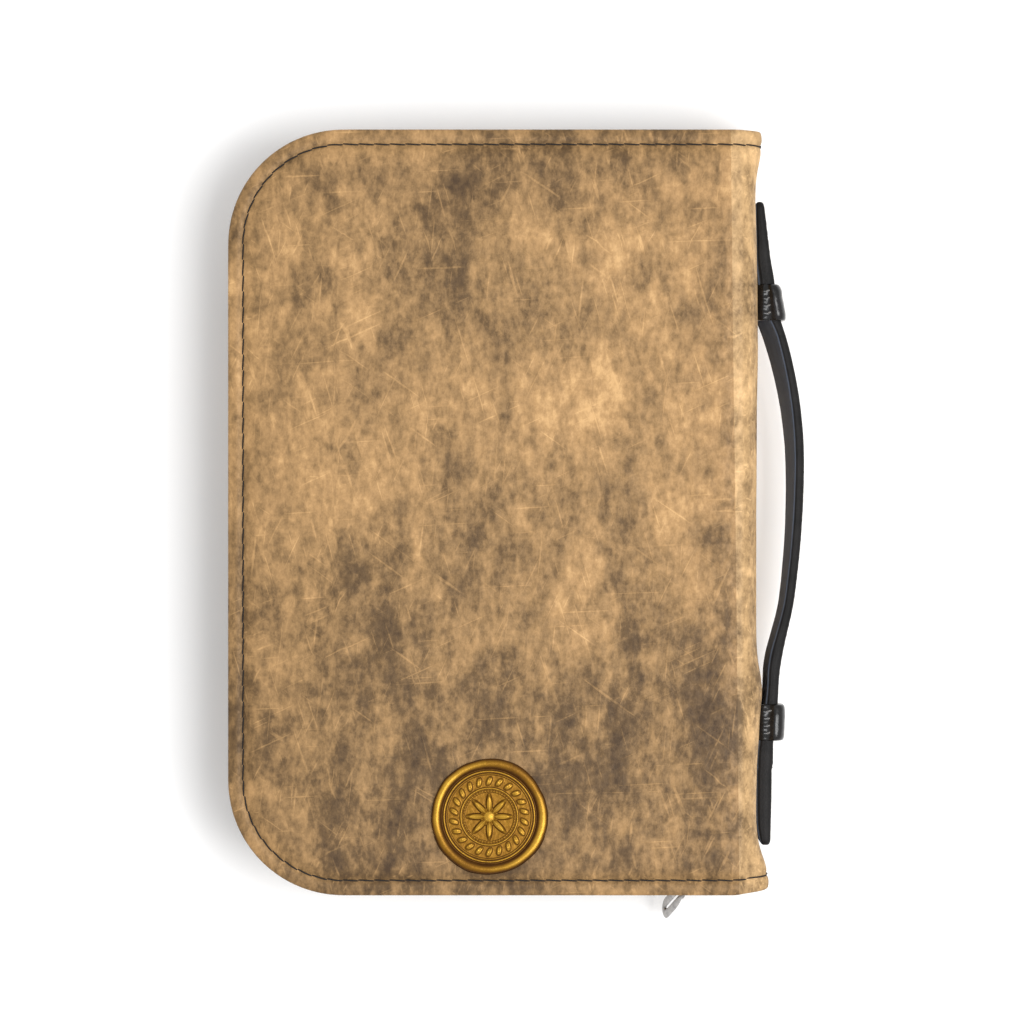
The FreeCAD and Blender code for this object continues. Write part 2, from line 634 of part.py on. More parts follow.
def bible_spine():
    """Rounded spine cover and the mull, the strip glued down the back of the gathered pages."""
    bow = dim("spine_bow")
    tall = THICK - COVER_DEPTH * 2
    length = dim("page_length") + dim("cover_over") * 2
    face_x = HALF_WIDTH - dim("skin") - dim("spine_board") - dim("lining")
    axis_x = face_x - dim("play") * 2 - bow
    y = -length / 2
    outer = cylinder("bible_spine_outer", bow, length, (axis_x, y, THICK / 2), ALONG)
    inner = cylinder("bible_spine_inner", bow - dim("cover_thick"), length, (axis_x, y, THICK / 2), ALONG)
    shell = combine("Part::Cut", "bible_spine_shell", outer, inner)
    keep = 12
    window = box("bible_spine_window", (keep * 2, length, tall), (face_x - keep, y, COVER_DEPTH))
    combine("Part::Common", "bible_spine_cover", shell, window)

    trim = dim("mull_trim")
    strip = dim("page_length") - trim * 3
    box("bible_spine_mull", (dim("mull"), strip, THICK - (BLOCK_DEPTH + trim) * 2),
        (dim("block_spine_x") + dim("play"), -strip / 2, BLOCK_DEPTH + trim))


def ribbon():
    """Marker ribbon lying between the two halves of the book, its tail hanging past the foot."""
    top = (THICK - dim("ribbon_thick")) / 2
    low = -dim("page_length") / 2 - dim("ribbon_tail")
    high = dim("page_length") / 2 - dim("ribbon_short")
    box("ribbon_marker", (dim("ribbon_width"), high - low, dim("ribbon_thick")), (dim("ribbon_x"), low, top))


def round_edges(name, base, radius, wanted):
    """Part::Fillet on the edges for which wanted(edge) is true."""
    doc.recompute()
    item = doc.addObject("Part::Fillet", name)
    item.Label = name
    item.Base = base
    size = as_size(radius).value
    item.Edges = [(i, size, size) for i, edge in enumerate(base.Shape.Edges, start=1) if wanted(edge)]
    return item


def pen_loop():
    """Elastic loop sewn to the front pocket at the fore-edge, open at both ends."""
    base = SLEEVE_DEPTH + dim("sleeve")
    x = dim("flange") + dim("skin") + dim("loop_inset") - HALF_WIDTH
    band, length = dim("loop_band"), dim("loop_length")

    def upper_edge(edge):
        return edge.BoundBox.YLength > 20 and edge.BoundBox.ZMin > base.value + 5

    outer = box("pen_loop_outer", (dim("loop_width"), length, dim("loop_height")), (x, dim("loop_y"), base))
    inner = box("pen_loop_inner", (dim("loop_width") - band * 2, length + 2, dim("loop_height") - band * 2),
                (x + band, dim("loop_y") - 1, base + band))
    combine("Part::Cut", "pen_loop", round_edges("pen_loop_soft", outer, dim("loop_round"), upper_edge),
            round_edges("pen_loop_inner_soft", inner, dim("loop_round") - band, upper_edge))


# ------------------------------------------------------------------ handle
def strap_layer(name, depth, thick):
    """One layer of the bowed strap between the keepers, at a depth from its outer face."""
    body = new_body(name)
    sketch = new_sketch(body, "XY_Plane", -dim("strap_width") / 2)
    apex_x = dim("strap_apex_x") - depth
    strap_outline(sketch, apex_x, depth, thick)
    pad(body, sketch, dim("strap_width"))
    turn = Rotation(ALONG, DRIVING["strap_droop"])
    pivot = Vector(DRIVING["pivot_x"], 0, 0)
    moved = pivot - turn.multVec(pivot)
    body.Placement = Placement(moved + Vector(0, 0, DRIVING["case_thick"] / 2), turn)
    return body


def strap_outline(sketch, apex_x, depth, thick):
    """Two arcs that meet at the apex of the bow, closed by the same arcs one thickness further in."""
    reach = dim("strap_reach")
    apex_y = dim("strap_apex_y")
    upper, lower = [], []
    for sunk in (as_size(0), thick):
        for found, radius, run, span in ((upper, dim("strap_upper_rad"), reach - apex_y, (0, 1)),
                                         (lower, dim("strap_lower_rad"), reach + apex_y, (-1, 0))):
            r = radius - depth - sunk
            angle = math.degrees(math.asin(run.value / r.value))
            centre = ((apex_x - sunk - r).value, apex_y.value)
            found.append(arc(sketch, centre, r.value, span[0] * angle, span[1] * angle))
            measure(sketch, "Radius", found[-1], r)
            measure(sketch, "DistanceY", -1, 1, found[-1], 3, apex_y)
        measure(sketch, "DistanceX", -1, 1, upper[-1], 1, apex_x - sunk)
        measure(sketch, "DistanceY", -1, 1, upper[-1], 1, apex_y)
        rule(sketch, "Coincident", upper[-1], 1, lower[-1], 2)
    for (outer, inner), end, level in ((upper, 2, 1), (lower, 1, -1)):
        cap = line(sketch, (apex_x.value - 8, level * reach.value), (apex_x.value - 9, level * reach.value))
        rule(sketch, "Coincident", outer, end, cap, 1)
        rule(sketch, "Coincident", inner, end, cap, 2)
        rule(sketch, "Horizontal", cap)
        if level > 0:
            measure(sketch, "DistanceY", -1, 1, cap, 1, reach)
        else:
            measure(sketch, "DistanceY", cap, 1, -1, 1, reach)


def strap_tail(end, stop):
    """End of the strap: flat against the spine beyond the keeper, then rising through it to meet the bow."""
    body = new_body(f"strap_tail_{end}")
    sketch = new_sketch(body, "XY_Plane")
    thick, lift = dim("tail_thick"), dim("tail_lift")
    start = dim("strap_reach") + dim("tail_gap")
    corners = [(TAIL_X, stop), (TAIL_X, dim("tail_bend_y")), (TAIL_X + lift, start),
               (TAIL_X + lift + thick, start), (TAIL_X + thick, dim("tail_bend_y")), (TAIL_X + thick, stop)]
    points = [(x.value, y.value) for x, y in corners]
    sides = [line(sketch, here, there) for here, there in zip(points, points[1:] + points[:1])]
    for number, (x, y) in enumerate(corners):
        rule(sketch, "Coincident", sides[number - 1], 2, sides[number], 1)
        measure(sketch, "DistanceX", -1, 1, sides[number], 1, x)
        measure(sketch, "DistanceY", -1, 1, sides[number], 1, y)
    pad(body, sketch, dim("strap_width"), middle=True)

    def end_corner(edge):
        bounds = edge.BoundBox
        return bounds.XLength > 1 and bounds.YLength < 0.01 and bounds.YMin > stop.value - 0.01

    fillet_edges(body, dim("tail_round"), end_corner)
    place(body, 0, 0, THICK / 2, Rotation() if end == "upper" else Rotation(Vector(1, 0, 0), 180))


def keeper(end, low_y):
    """Leather loop sewn to the spine that the strap runs through."""
    wide, thick, play = dim("strap_width"), dim("keeper_wall"), dim("strap_play")
    outer = box(f"keeper_{end}_outer", (dim("keeper_deep"), dim("keeper_tall"), wide + thick * 2),
                (KEEPER_FACE_X, low_y, (THICK - wide) / 2 - thick))
    inner = box(f"keeper_{end}_inner", (dim("keeper_deep") - thick * 2, dim("keeper_tall") + 2, wide + play * 2),
                (KEEPER_FACE_X + thick, low_y - 1, (THICK - wide) / 2 - play))
    soft = round_edges(f"keeper_{end}_soft", outer, dim("keeper_round"),
                       lambda e: e.BoundBox.XMin > KEEPER_FACE_X.value + 5 and e.BoundBox.XLength < 0.1)
    combine("Part::Cut", f"handle_keeper_{end}", soft, inner)


# ------------------------------------------------------------------ seal
def seal():
    """Round seal with a rolled rim, sunk field, double ring and an eight-rayed star in relief."""
    x, y, top = dim("seal_x"), dim("seal_y"), THICK
    base, rim, outer, field = (dim("seal_" + part) for part in ("base", "rim", "rad", "field_rad"))
    disc = cylinder("seal_disc", (outer + field) / 2, base, (x, y, top))
    roll = doc.addObject("Part::Torus", "seal_roll")
    bind(roll, Radius1=(outer + field) / 2, Radius2=(outer - field) / 2)
    place(roll, x, y, top)
    keep = cylinder("seal_keep", outer + 1, rim, (x, y, top))
    rim_solid = combine("Part::Common", "seal_rim", roll, keep)
    rings = []
    for number, radius in enumerate((field - dim("seal_ring_in"), field * 0.62)):
        ring = doc.addObject("Part::Torus", f"seal_ring_{number}")
        bind(ring, Radius1=radius, Radius2=dim("seal_ring"))
        place(ring, x, y, top + base)
        rings.append(ring)
    star = doc.addObject("Part::Feature", "seal_star")
    star.Shape = star_prism(8, field.value * 0.52, field.value * 0.2, DRIVING["seal_star"])
    place(star, x, y, top + base)
    combine("Part::MultiFuse", "seal_medallion", disc, rim_solid, star, *rings)


def star_prism(rays, reach, notch, tall):
    """Prism with a star's outline, sunk a little below its base plane."""
    sunk = -0.1
    points = []
    for step in range(rays * 2):
        x, y = polar((0, 0), reach if step % 2 == 0 else notch, 180 * step / rays)
        points.append(Vector(x, y, sunk))
    return Part.Face(Part.makePolygon(points + points[:1])).extrude(Vector(0, 0, tall))


# ------------------------------------------------------------------ the whole object
for cover in SIDES:
    cover_skin(cover)
    cover_layers(cover)
    sleeve(cover)
    side_wall(cover)
    teeth_row(cover)
    zip_stops(cover)
    stitching(cover)
    bible_half(cover)
slider()
puller()
spine_leather()
spine_layers()
bible_spine()
ribbon()
pen_loop()
strap_layer("handle_leather", as_size(0), dim("strap_leather"))
strap_layer("handle_core", dim("strap_leather") + dim("glue"), dim("strap_core"))
strap_layer("handle_backing", dim("strap_leather") + dim("strap_core") + dim("glue") * 2, dim("strap_back"))
strap_tail("upper", dim("tail_upper_end"))
strap_tail("lower", dim("tail_lower_end"))
keeper("upper", dim("keeper_inner"))
keeper("lower", -dim("keeper_inner") - dim("keeper_tall"))
seal()
doc.recompute()

NODES = [f"{side}_{name}" for side in SIDES for name in (
    "cover_leather", "cover_padding", "cover_board", "cover_lining", "pocket_sleeve", "side_band",
    "zip_tape", "zip_coil", "zip_stops", "stitching", "bible_cover", "flyleaf", "text_block", "headbands")]
NODES += ["spine_leather", "spine_board", "spine_lining", "spine_gusset_head", "spine_gusset_tail",
          "bible_spine_cover", "bible_spine_mull", "ribbon_marker", "pen_loop",
          "zip_slider", "zip_puller", "handle_leather", "handle_core", "handle_backing",
          "handle_keeper_upper", "handle_keeper_lower", "strap_tail_upper", "strap_tail_lower",
          "seal_medallion"]


def write_parts():
    """Checks every object of the document, then writes one STEP file for each node."""
    broken = [o.Name for o in doc.Objects if "Invalid" in o.State or "Error" in o.State]
    if broken:
        raise RuntimeError(f"failed objects: {broken}")
    os.makedirs(PARTS, exist_ok=True)
    for name in NODES:
        found = [o for o in doc.Objects if o.Label == name]
        shape = found[0].Shape
        if shape.isNull() or not shape.isValid() or not shape.Solids:
            raise RuntimeError(f"{name} has no valid solid")
        shape.exportStep(os.path.join(PARTS, name + ".step"))


write_parts()
print(f"{len(NODES)} nodes written")
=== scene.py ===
"""Looks of the zipped Bible: leather case, strap handle, seal, zip and the Bible inside, in metres.

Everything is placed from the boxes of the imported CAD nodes.  The case lies on its front cover, with
+X to the spine, +Y to the head and +Z up.
"""

import math

import bmesh
import bpy
from mathutils import Matrix, Vector, noise


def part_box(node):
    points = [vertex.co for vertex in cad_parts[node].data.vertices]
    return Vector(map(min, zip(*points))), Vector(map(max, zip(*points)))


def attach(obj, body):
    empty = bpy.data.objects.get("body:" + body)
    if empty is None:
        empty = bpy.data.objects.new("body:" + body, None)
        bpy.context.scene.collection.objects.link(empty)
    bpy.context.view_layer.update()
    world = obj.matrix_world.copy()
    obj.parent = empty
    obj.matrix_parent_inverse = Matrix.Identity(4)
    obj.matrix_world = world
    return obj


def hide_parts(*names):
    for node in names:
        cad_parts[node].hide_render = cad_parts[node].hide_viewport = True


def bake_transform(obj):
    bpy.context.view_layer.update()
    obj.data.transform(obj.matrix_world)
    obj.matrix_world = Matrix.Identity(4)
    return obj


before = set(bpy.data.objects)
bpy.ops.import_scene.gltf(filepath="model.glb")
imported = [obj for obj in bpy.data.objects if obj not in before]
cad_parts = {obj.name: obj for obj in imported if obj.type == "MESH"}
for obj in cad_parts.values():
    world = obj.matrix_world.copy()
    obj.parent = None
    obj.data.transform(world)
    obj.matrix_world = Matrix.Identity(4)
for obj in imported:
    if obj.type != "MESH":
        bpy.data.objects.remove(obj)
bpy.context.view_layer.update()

MM = 0.001
FRONT, BACK = "front", "back"
SIDES = (FRONT, BACK)


# ---------------------------------------------------------------- sizes read from the frame
field_low, field_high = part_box("back_cover_leather")

THICK = field_high.z
HALF_Y = field_high.y
LEFT = field_low.x
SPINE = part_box("spine_leather")[1].x
MIDDLE = THICK / 2
ROUND = 8 * MM
CORNER = 40.5 * MM
FLAT_END = SPINE - ROUND
HEM = 6 * MM
STITCH_INSET = 5.35 * MM
INNER_X, INNER_Y = LEFT + CORNER, HALF_Y - CORNER


# ---------------------------------------------------------------- small helpers
def srgb(red, green, blue):
    """A display colour, 0 to 255, as the linear colour that a shader takes."""
    def linear(value):
        value /= 255
        return value / 12.92 if value <= 0.04045 else ((value + 0.055) / 1.055) ** 2.4
    return linear(red), linear(green), linear(blue), 1.0


def smooth(value, low=0.0, high=1.0):
    share = min(1.0, max(0.0, (value - low) / (high - low)))
    return share * share * (3 - 2 * share)


def bell(value, centre, width):
    return math.exp(-((value - centre) / width) ** 2)


def spread(start, stop, count):
    return [start + (stop - start) * step / (count - 1) for step in range(count)]


class Shape:
    """Collects vertices and faces; vertices that fall together become one."""

    def __init__(self):
        self.points, self.faces, self.found, self.values = [], [], {}, {}

    def add(self, point, **values):
        key = tuple(round(c * 2e6) for c in point)
        if key not in self.found:
            self.found[key] = len(self.points)
            self.points.append(tuple(point))
        for name, value in values.items():
            self.values.setdefault(name, {})[self.found[key]] = value
        return self.found[key]

    def face(self, *corners):
        ring = []
        for corner in corners:
            if corner not in ring:
                ring.append(corner)
        if len(ring) > 2:
            self.faces.append(ring)

    def grid(self, rows, closed=False):
        """Quads between rows of vertex numbers."""
        for low, high in zip(rows, rows[1:]):
            pairs = list(zip(range(len(low)), range(1, len(low))))
            if closed:
                pairs.append((len(low) - 1, 0))
            for a, b in pairs:
                self.face(low[a], low[b], high[b], high[a])

    def solid_sheet(self, rows, thick, normal):
        """A closed sheet: a grid of points, the same grid moved by its thickness, and the four rims."""
        count, width = len(rows), len(rows[0])
        layers = []
        for offset in (0.0, thick):
            layers.append([[self.add(Vector(p) + Vector(normal(r, c)) * offset) for c, p in enumerate(row)]
                           for r, row in enumerate(rows)])
            self.grid(layers[-1])
        for near, far in ((layers[0][0], layers[1][0]), (layers[0][-1], layers[1][-1])):
            self.grid([near, far])
        for column in (0, width - 1):
            self.grid([[layer[r][column] for r in range(count)] for layer in layers])

    def piece(self, name, slot, material, levels=0, flat=False):
        """The finished object, with its rest position kept as an attribute for the materials."""
        mesh = bpy.data.meshes.new(name)
        mesh.from_pydata(self.points, [], self.faces)
        work = bmesh.new()
        work.from_mesh(mesh)
        bmesh.ops.recalc_face_normals(work, faces=work.faces)
        work.to_mesh(mesh)
        work.free()
        rest = mesh.attributes.new("rest", "FLOAT_VECTOR", "POINT")
        rest.data.foreach_set("vector", [c for point in self.points for c in point])
        for key, table in self.values.items():
            layer = mesh.attributes.new(key, "FLOAT", "POINT")
            layer.data.foreach_set("value", [float(table.get(i, 0.0)) for i in range(len(self.points))])
        mesh.polygons.foreach_set("use_smooth", [not flat] * len(mesh.polygons))
        made = bpy.data.objects.new(name, mesh)
        bpy.context.scene.collection.objects.link(made)
        mesh.materials.append(MATERIALS[material])
        if levels:
            subdivide = made.modifiers.new("subdivide", "SUBSURF")
            subdivide.levels = subdivide.render_levels = levels
        return made


def tube(shape, path, radius, sides=8, closed=False, squash=1.0, up=Vector((0, 0, 1))):
    """A tube along a list of points; radius is one number or one for each point."""
    rings, count = [], len(path)
    for number, point in enumerate(path):
        after = path[(number + 1) % count] if closed or number + 1 < count else point
        before = path[number - 1] if closed or number else point
        along = (Vector(after) - Vector(before)).normalized()
        side = along.cross(up)
        side = side.normalized() if side.length > 1e-6 else Vector((1, 0, 0))
        top = side.cross(along)
        size = radius[number] if isinstance(radius, (list, tuple)) else radius
        turns = [math.tau * k / sides for k in range(sides)]
        rings.append([shape.add(Vector(point) + side * (size * math.cos(a))
                                + top * (size * squash * math.sin(a))) for a in turns])
    if closed:
        rings.append(rings[0])
    shape.grid(rings, closed=True)
    if not closed:
        shape.face(*rings[0])
        shape.face(*rings[-1])


def round_run(inset, right, pitch):
    """Points at even steps along the zipped sides, tail to head, each with the outward direction."""
    radius = CORNER - inset
    straight, bend, upright = right - INNER_X, radius * math.pi / 2, INNER_Y * 2
    total = (straight + bend) * 2 + upright
    count = int(total / pitch)
    for number in range(count + 1):
        way = total * number / count
        sign, way = (-1, way) if way < total / 2 else (1, total - way)
        if way < straight:
            yield Vector((right - way, sign * (HALF_Y - inset), 0)), Vector((0, sign, 0))
        elif way < straight + bend:
            angle = (way - straight) / radius
            out = Vector((-math.sin(angle), sign * math.cos(angle), 0))
            yield Vector((INNER_X, sign * INNER_Y, 0)) + out * radius, out
        else:
            yield Vector((LEFT + inset, sign * (INNER_Y - (way - straight - bend)), 0)), Vector((-1, 0, 0))


def mirror(side, z):
    """The height on the front half that answers to a height on the back half."""
    return z if side == BACK else THICK - z


# ---------------------------------------------------------------- camera, floor and light
def make_camera():
    """Looks straight down from far away, as in a product picture."""
    view_width, distance = 360.4 * MM, 2.2
    data = bpy.data.cameras.new("camera")
    data.sensor_width = 36
    data.lens = data.sensor_width * distance / view_width
    data.clip_end = 50
    camera = bpy.data.objects.new("camera", data)
    camera.location = (7.1 * MM, 0.15 * MM, THICK + distance)
    bpy.context.scene.collection.objects.link(camera)
    bpy.context.scene.camera = camera


def make_stage():
    """A pale floor, a white surround, two soft lamps and plain colour settings."""
    mesh = bpy.data.meshes.new("floor")
    reach = 12
    corners = [(-reach, -reach, 0), (reach, -reach, 0), (reach, reach, 0), (-reach, reach, 0)]
    mesh.from_pydata(corners, [], [(0, 1, 2, 3)])
    floor = bpy.data.objects.new("floor", mesh)
    bpy.context.scene.collection.objects.link(floor)
    paper = bpy.data.materials.new("floor_paper")
    paper.use_nodes = True
    shader = paper.node_tree.nodes["Principled BSDF"]
    shader.inputs["Base Color"].default_value = (0.93, 0.93, 0.93, 1)
    shader.inputs["Roughness"].default_value = 0.9
    shader.inputs["Specular IOR Level"].default_value = 0.1
    mesh.materials.append(paper)

    world = bpy.data.worlds.new("studio")
    world.use_nodes = True
    world.node_tree.nodes["Background"].inputs["Color"].default_value = (1, 1, 1, 1)
    world.node_tree.nodes["Background"].inputs["Strength"].default_value = 0.86
    bpy.context.scene.world = world

    for name, direction, distance, size, power in (
            ("key", (0.40, -0.10, 1.0), 1.7, 0.9, 25.0),
            ("fill", (-0.6, 0.9, 0.9), 2.2, 1.6, 1.5)):
        data = bpy.data.lights.new(name, "AREA")
        data.size = size
        data.energy = power
        lamp = bpy.data.objects.new(name, data)
        place = Vector(direction).normalized() * distance
        lamp.location = place
        lamp.rotation_mode = "QUATERNION"
        lamp.rotation_quaternion = place.to_track_quat("Z", "Y")
        bpy.context.scene.collection.objects.link(lamp)

    settings = bpy.context.scene.view_settings
    settings.view_transform = "Standard"
    settings.look = "None"
    settings.exposure = 0
    settings.gamma = 1


# ---------------------------------------------------------------- materials
class Paint:
    """A node material: a thin layer over bpy's node calls."""

    def __init__(self, name, rest=True):
        self.material = bpy.data.materials.new(name)
        self.material.use_nodes = True
        self.tree = self.material.node_tree
        self.shader = self.tree.nodes["Principled BSDF"]
        if rest:
            source = self.node("ShaderNodeAttribute")
            source.attribute_name = "rest"
            self.place = source.outputs["Vector"]
        else:
            self.place = self.node("ShaderNodeTexCoord").outputs["Object"]

    def node(self, kind):
        return self.tree.nodes.new(kind)

    def feed(self, socket, value):
        if isinstance(value, bpy.types.NodeSocket):
            self.tree.links.new(value, socket)
        elif hasattr(value, "__len__") and len(value) == 3 and socket.type == "RGBA":
            socket.default_value = (*value, 1)
        else:
            socket.default_value = value

    def set(self, **sockets):
        for name, value in sockets.items():
            self.feed(self.shader.inputs[name.replace("_", " ")], value)

    def math(self, operation, first, second=0.5):
        node = self.node("ShaderNodeMath")
        node.operation = operation
        self.feed(node.inputs[0], first)
        self.feed(node.inputs[1], second)
        return node.outputs[0]

    def stretch(self, x=1.0, y=1.0, z=1.0, turn=0.0, place=None):
        """Texture space scaled along its axes and turned about Z."""
        node = self.node("ShaderNodeMapping")
        self.feed(node.inputs["Vector"], place or self.place)
        node.inputs["Scale"].default_value = (x, y, z)
        node.inputs["Rotation"].default_value = (0, 0, turn)
        return node.outputs[0]

    def noise(self, size_mm, detail=4.0, rough=0.55, place=None, warp=0.0, seed=0.0):
        node = self.node("ShaderNodeTexNoise")
        node.noise_dimensions = "4D"
        self.feed(node.inputs["Vector"], place or self.place)
        node.inputs["W"].default_value = seed
        node.inputs["Scale"].default_value = 1000 / size_mm
        node.inputs["Detail"].default_value = detail
        node.inputs["Roughness"].default_value = rough
        node.inputs["Distortion"].default_value = warp
        return node.outputs["Fac"]

    def cells(self, size_mm, feature="F1"):
        node = self.node("ShaderNodeTexVoronoi")
        node.feature = feature
        self.feed(node.inputs["Vector"], self.place)
        node.inputs["Scale"].default_value = 1000 / size_mm
        return node.outputs["Distance"]

    def ramp(self, value, *stops):
        node = self.node("ShaderNodeValToRGB")
        self.feed(node.inputs["Fac"], value)
        marks = node.color_ramp.elements
        while len(marks) < len(stops):
            marks.new(0.5)
        for mark, (where, colour) in zip(marks, stops):
            mark.position = where
            mark.color = colour
        return node.outputs["Color"]

    def level(self, value, low, high, to_low=0.0, to_high=1.0):
        """Maps low..high to another range, smoothly and clamped."""
        node = self.node("ShaderNodeMapRange")
        node.interpolation_type = "SMOOTHSTEP"
        self.feed(node.inputs["Value"], value)
        for name, number in (("From Min", low), ("From Max", high), ("To Min", to_low), ("To Max", to_high)):
            self.feed(node.inputs[name], number)
        return node.outputs["Result"]

    def mix(self, share, first, second):
        node = self.node("ShaderNodeMix")
        node.data_type = "RGBA"
        self.feed(node.inputs["Factor"], share)
        self.feed(node.inputs[6], first)
        self.feed(node.inputs[7], second)
        return node.outputs[2]

    def split(self, place=None):
        node = self.node("ShaderNodeSeparateXYZ")
        self.feed(node.inputs[0], place or self.place)
        return node.outputs

    def value(self, name):
        node = self.node("ShaderNodeAttribute")
        node.attribute_name = name
        return node.outputs["Fac"]

    def bump(self, height, depth_mm, strength=1.0):
        node = self.node("ShaderNodeBump")
        node.inputs["Strength"].default_value = strength
        node.inputs["Distance"].default_value = depth_mm * MM
        self.feed(node.inputs["Height"], height)
        self.feed(self.shader.inputs["Normal"], node.outputs["Normal"])


def sum_of(paint, *terms):
    """Weighted sum of sockets: (socket, weight) pairs."""
    total = None
    for socket, weight in terms:
        part = paint.math("MULTIPLY", socket, weight)
        total = part if total is None else paint.math("ADD", total, part)
    return total


PATCHES = (
    (-0.012, 0.098, 0.034, 0.032, -0.15), (0.062, 0.056, 0.045, 0.070, 0.08),
    (-0.062, 0.045, 0.045, 0.036, 0.07), (0.066, -0.064, 0.026, 0.034, -0.13),
    (0.004, -0.092, 0.052, 0.044, -0.08), (-0.018, -0.036, 0.020, 0.024, -0.08),
    (-0.040, 0.045, 0.020, 0.016, -0.07), (0.012, -0.010, 0.022, 0.020, -0.07),
    (0.030, 0.105, 0.016, 0.020, -0.10))
PATCH_SHIFT = 0.015


def leather_patches(paint):
    """Broad lighter and darker areas of the hide: centre, half width, half height and strength of each."""
    wander = paint.node("ShaderNodeVectorMath")
    wander.operation = "MULTIPLY_ADD"
    drift = paint.node("ShaderNodeTexNoise")
    paint.feed(drift.inputs["Vector"], paint.place)
    drift.inputs["Scale"].default_value = 1000 / 26
    drift.inputs["Detail"].default_value = 3
    paint.feed(wander.inputs[0], drift.outputs["Color"])
    wander.inputs[1].default_value = (0.030, 0.030, 0.0)
    paint.feed(wander.inputs[2], paint.place)
    x, y, _ = paint.split(wander.outputs[0])
    total = paint.level(y, -0.060, 0.050, -0.16, 0.0)
    total = paint.math("ADD", total, paint.level(y, 0.100, 0.145, 0.0, -0.08))
    for centre_x, centre_y, wide, tall, amount in PATCHES:
        across = paint.math("DIVIDE", paint.math("SUBTRACT", x, centre_x + PATCH_SHIFT), wide)
        along = paint.math("DIVIDE", paint.math("SUBTRACT", y, centre_y + PATCH_SHIFT), tall)
        far = paint.math("SQRT", paint.math("ADD", paint.math("MULTIPLY", across, across),
                                            paint.math("MULTIPLY", along, along)))
        total = paint.math("ADD", total, paint.level(far, 1.35, 0.1, 0.0, amount))
    return total


SCRATCHES = ((0.10, 0.50, 13, 0.70), (-0.30, 0.42, 10, 0.705), (1.15, 0.36, 13, 0.73),
             (-0.95, 0.38, 11, 0.73), (0.45, 0.36, 9, 0.715), (1.52, 0.42, 16, 0.725))


def leather_scratches(paint):
    """Pale straight scratches, in families: turn, width and length in millimetres, and how rare they are."""
    total = None
    for number, (turn, wide, long, rare) in enumerate(SCRATCHES):
        place = paint.stretch(1.0, wide / long, 1.0, 0.0, paint.stretch(turn=turn))
        streak = paint.level(paint.noise(wide * 2.2, 0, 0.5, place, 0.0, number * 7.0), rare, rare + 0.07)
        where = paint.level(paint.noise(13, 2, 0.5, None, 0.0, number + 40.0), 0.42, 0.60)
        line = paint.math("MULTIPLY", streak, where)
        total = line if total is None else paint.math("MAXIMUM", total, line)
    return total


RUBS = ((20, 0.55, 51.0, 0.115), (9, 1.6, 54.0, 0.06), (6.5, 0.42, 61.0, 0.085), (2.8, 0.45, 57.0, 0.075))


def leather_rubs(paint):
    """Worn strokes with clear edges: size in millimetres, stretch, seed and strength of each kind."""
    total = None
    for size, flat, seed, amount in RUBS:
        place = paint.stretch(1.0, flat, 1.0)
        stroke = paint.level(paint.noise(size, 3, 0.62, place, 0.1, seed), 0.36, 0.64, -amount, amount)
        total = stroke if total is None else paint.math("ADD", total, stroke)
    return total


def case_leather(name="case_leather", rest=True):
    """Tan leather with clouds at every scale, a speckled grain, pale scratches, and paler colour from the
    start of the round edge onward, palest towards the tail.
    """
    paint = Paint(name, rest)
    x, y, _ = paint.split()
    clouds = paint.noise(30, 5, 0.72, paint.stretch(1.0, 0.8, 1.0), 0.2, 3.1)
    speckle = paint.noise(1.9, 3, 0.75, paint.stretch(1.0, 0.72, 1.0), 0.15, 5.9)
    scratch = leather_scratches(paint)
    tone = sum_of(paint, (paint.math("SUBTRACT", clouds, 0.5), 1.0),
                  (paint.math("SUBTRACT", speckle, 0.5), 0.72),
                  (leather_rubs(paint), 1.0), (leather_patches(paint), 1.0), (scratch, 0.18))
    aslant = sum_of(paint, (x, 1.0), (y, 0.0106))
    # Just past the start of the round edge the colour turns paler, and it grows paler still towards the tail.
    round_edge_share = paint.level(aslant, FLAT_END + 0.6 * MM, FLAT_END + 0.9 * MM)
    hide = paint.ramp(paint.math("ADD", tone, 0.56), (0.0, srgb(64, 46, 26)), (0.25, srgb(94, 71, 42)),
                      (0.5, srgb(134, 104, 66)), (0.75, srgb(164, 128, 84)), (1.0, srgb(194, 155, 105)))
    round_edge_tone = sum_of(paint, (tone, 1.35), (paint.level(y, 0.080, 0.040, 0.40, 0.50), 1.0))
    pale = paint.ramp(round_edge_tone, (0.0, srgb(98, 76, 48)), (0.5, srgb(168, 136, 94)),
                      (1.0, srgb(212, 173, 123)))
    paint.set(Base_Color=paint.mix(round_edge_share, hide, pale), Roughness=paint.level(speckle, 0.3, 0.7, 0.62, 0.48),
              Specular_IOR_Level=0.25)
    grain = paint.math("MINIMUM", paint.cells(0.75, feature="DISTANCE_TO_EDGE"), 0.3)
    paint.bump(sum_of(paint, (grain, 0.6), (speckle, 0.9), (scratch, 0.4)), 0.12, 0.4)
    return paint.material


